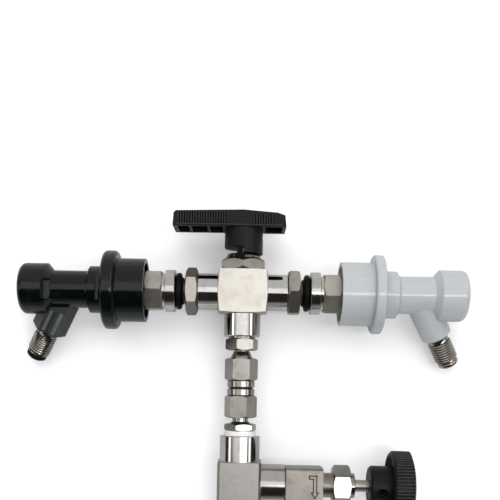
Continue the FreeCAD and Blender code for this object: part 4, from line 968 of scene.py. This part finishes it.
def makeRoom():
    # a bright wall above, a window strip and a narrow lamp at eye level, lamps to the sides, and
    # a pale floor: only reflections see it, and the camera sees white
    world = bpy.data.worlds.new("room")
    world.use_nodes = True
    tree = world.node_tree
    sky = tree.nodes["Background"]
    place = addNode(tree, "ShaderNodeTexCoord")
    split = addNode(tree, "ShaderNodeSeparateXYZ")
    tree.links.new(place.outputs["Generated"], split.inputs["Vector"])

    def compute(operation, first, second=None):
        node = addNode(tree, "ShaderNodeMath", operation=operation)
        for socket, value in zip(node.inputs, (first, second)):
            if value is None:
                continue
            if isinstance(value, (int, float)):
                socket.default_value = value
            else:
                tree.links.new(value, socket)
        return node.outputs["Value"]

    def fade(value, stretch):
        start, end = room[stretch]
        node = addNode(tree, "ShaderNodeMapRange", interpolation_type="SMOOTHSTEP",
                       **{"From Min": start, "From Max": end})
        tree.links.new(value, node.inputs["Value"])
        return node.outputs["Result"]

    def between(value, start, end):
        return compute("SUBTRACT", fade(value, start), fade(value, end))

    def without(mask):
        return compute("SUBTRACT", 1.0, mask)

    towards = compute("MULTIPLY", split.outputs["Y"], -1.0)
    up = compute("ARCTAN2", split.outputs["Z"], towards)
    across = compute("ARCTAN2", split.outputs["X"], towards)
    aside = compute("ABSOLUTE", across)
    lateral = compute("MULTIPLY", fade(compute("ABSOLUTE", split.outputs["X"]), "wallEdge"),
                      without(fade(split.outputs["Z"], "wallTop")))
    wall = compute("MULTIPLY", fade(up, "low"),
                   without(compute("MULTIPLY", lateral, room["wallDrop"])))
    strip = compute("MULTIPLY", between(up, "low", "high"), without(fade(aside, "wide")))
    line = compute("MULTIPLY", between(up, "lineLow", "lineHigh"),
                   between(across, "lineLeft", "lineRight"))
    side = compute("MULTIPLY", between(up, "sideLow", "sideHigh"),
                   between(across, "sideLeft", "sideRight"))
    edge = compute("MULTIPLY", between(up, "edgeLow", "edgeHigh"),
                   between(aside, "edgeNear", "edgeFar"))
    floor = without(fade(up, "floorHigh"))
    level = compute("MULTIPLY", wall, room["above"])
    for mask, part in ((strip, "strip"), (line, "line"), (side, "side"), (edge, "edge"),
                       (floor, "floor")):
        level = compute("ADD", level, compute("MULTIPLY", mask, room[part]))
    level = compute("ADD", level, room["base"])
    seen = addNode(tree, "ShaderNodeLightPath").outputs["Is Camera Ray"]
    level = compute("ADD", compute("MULTIPLY", level, without(seen)), seen)
    tree.links.new(level, sky.inputs["Strength"])
    sky.inputs["Color"].default_value = room["colour"]
    bpy.context.scene.world = world


def makeLight():
    far = stageSizes["lampFar"]
    aim = (0, 0, valveLevel - stageSizes["aimBelow"])
    for name, lamp in lamps.items():
        place = (lamp["across"], -stageSizes["lampForward"] * far, valveLevel + lamp["above"] * far)
        addLamp(name, place, aim, lamp["size"], lamp["power"])
    makeRoom()


cameraSizes = {
    "place": (2.3, -390.0, 113.0),                # mm in the part's frame
    "yaw": 0.78, "pitch": -1.55, "roll": -1.15,   # degrees
    "sensor": 36.0,                               # mm
    "picture": 500, "focal": 808.0,               # pixels
    "centre": (-15.6, 151.2),                     # the optical axis, from the picture's middle
}


def makeCamera():
    data = bpy.data.cameras.new("photoCamera")
    picture = cameraSizes["picture"]
    data.sensor_width = cameraSizes["sensor"]
    data.lens = cameraSizes["focal"] / picture * data.sensor_width
    data.shift_x = -cameraSizes["centre"][0] / picture
    data.shift_y = cameraSizes["centre"][1] / picture
    data.clip_start = 0.01
    data.clip_end = 20
    camera = bpy.data.objects.new("photoCamera", data)
    bpy.context.scene.collection.objects.link(camera)
    yaw, pitch, roll = (math.radians(cameraSizes[key]) for key in ("yaw", "pitch", "roll"))
    turn = (Matrix.Rotation(yaw, 4, "Z") @ Matrix.Rotation(pitch, 4, "X")
            @ Matrix.Rotation(roll, 4, "Y") @ Matrix.Rotation(math.radians(90), 4, "X"))
    camera.matrix_world = Matrix.Translation(Vector(cameraSizes["place"]) * mm) @ turn
    bpy.context.scene.camera = camera


makeTable()
makeLight()
makeCamera()
bpy.context.scene.view_settings.view_transform = "Standard"
print("table, light and camera")
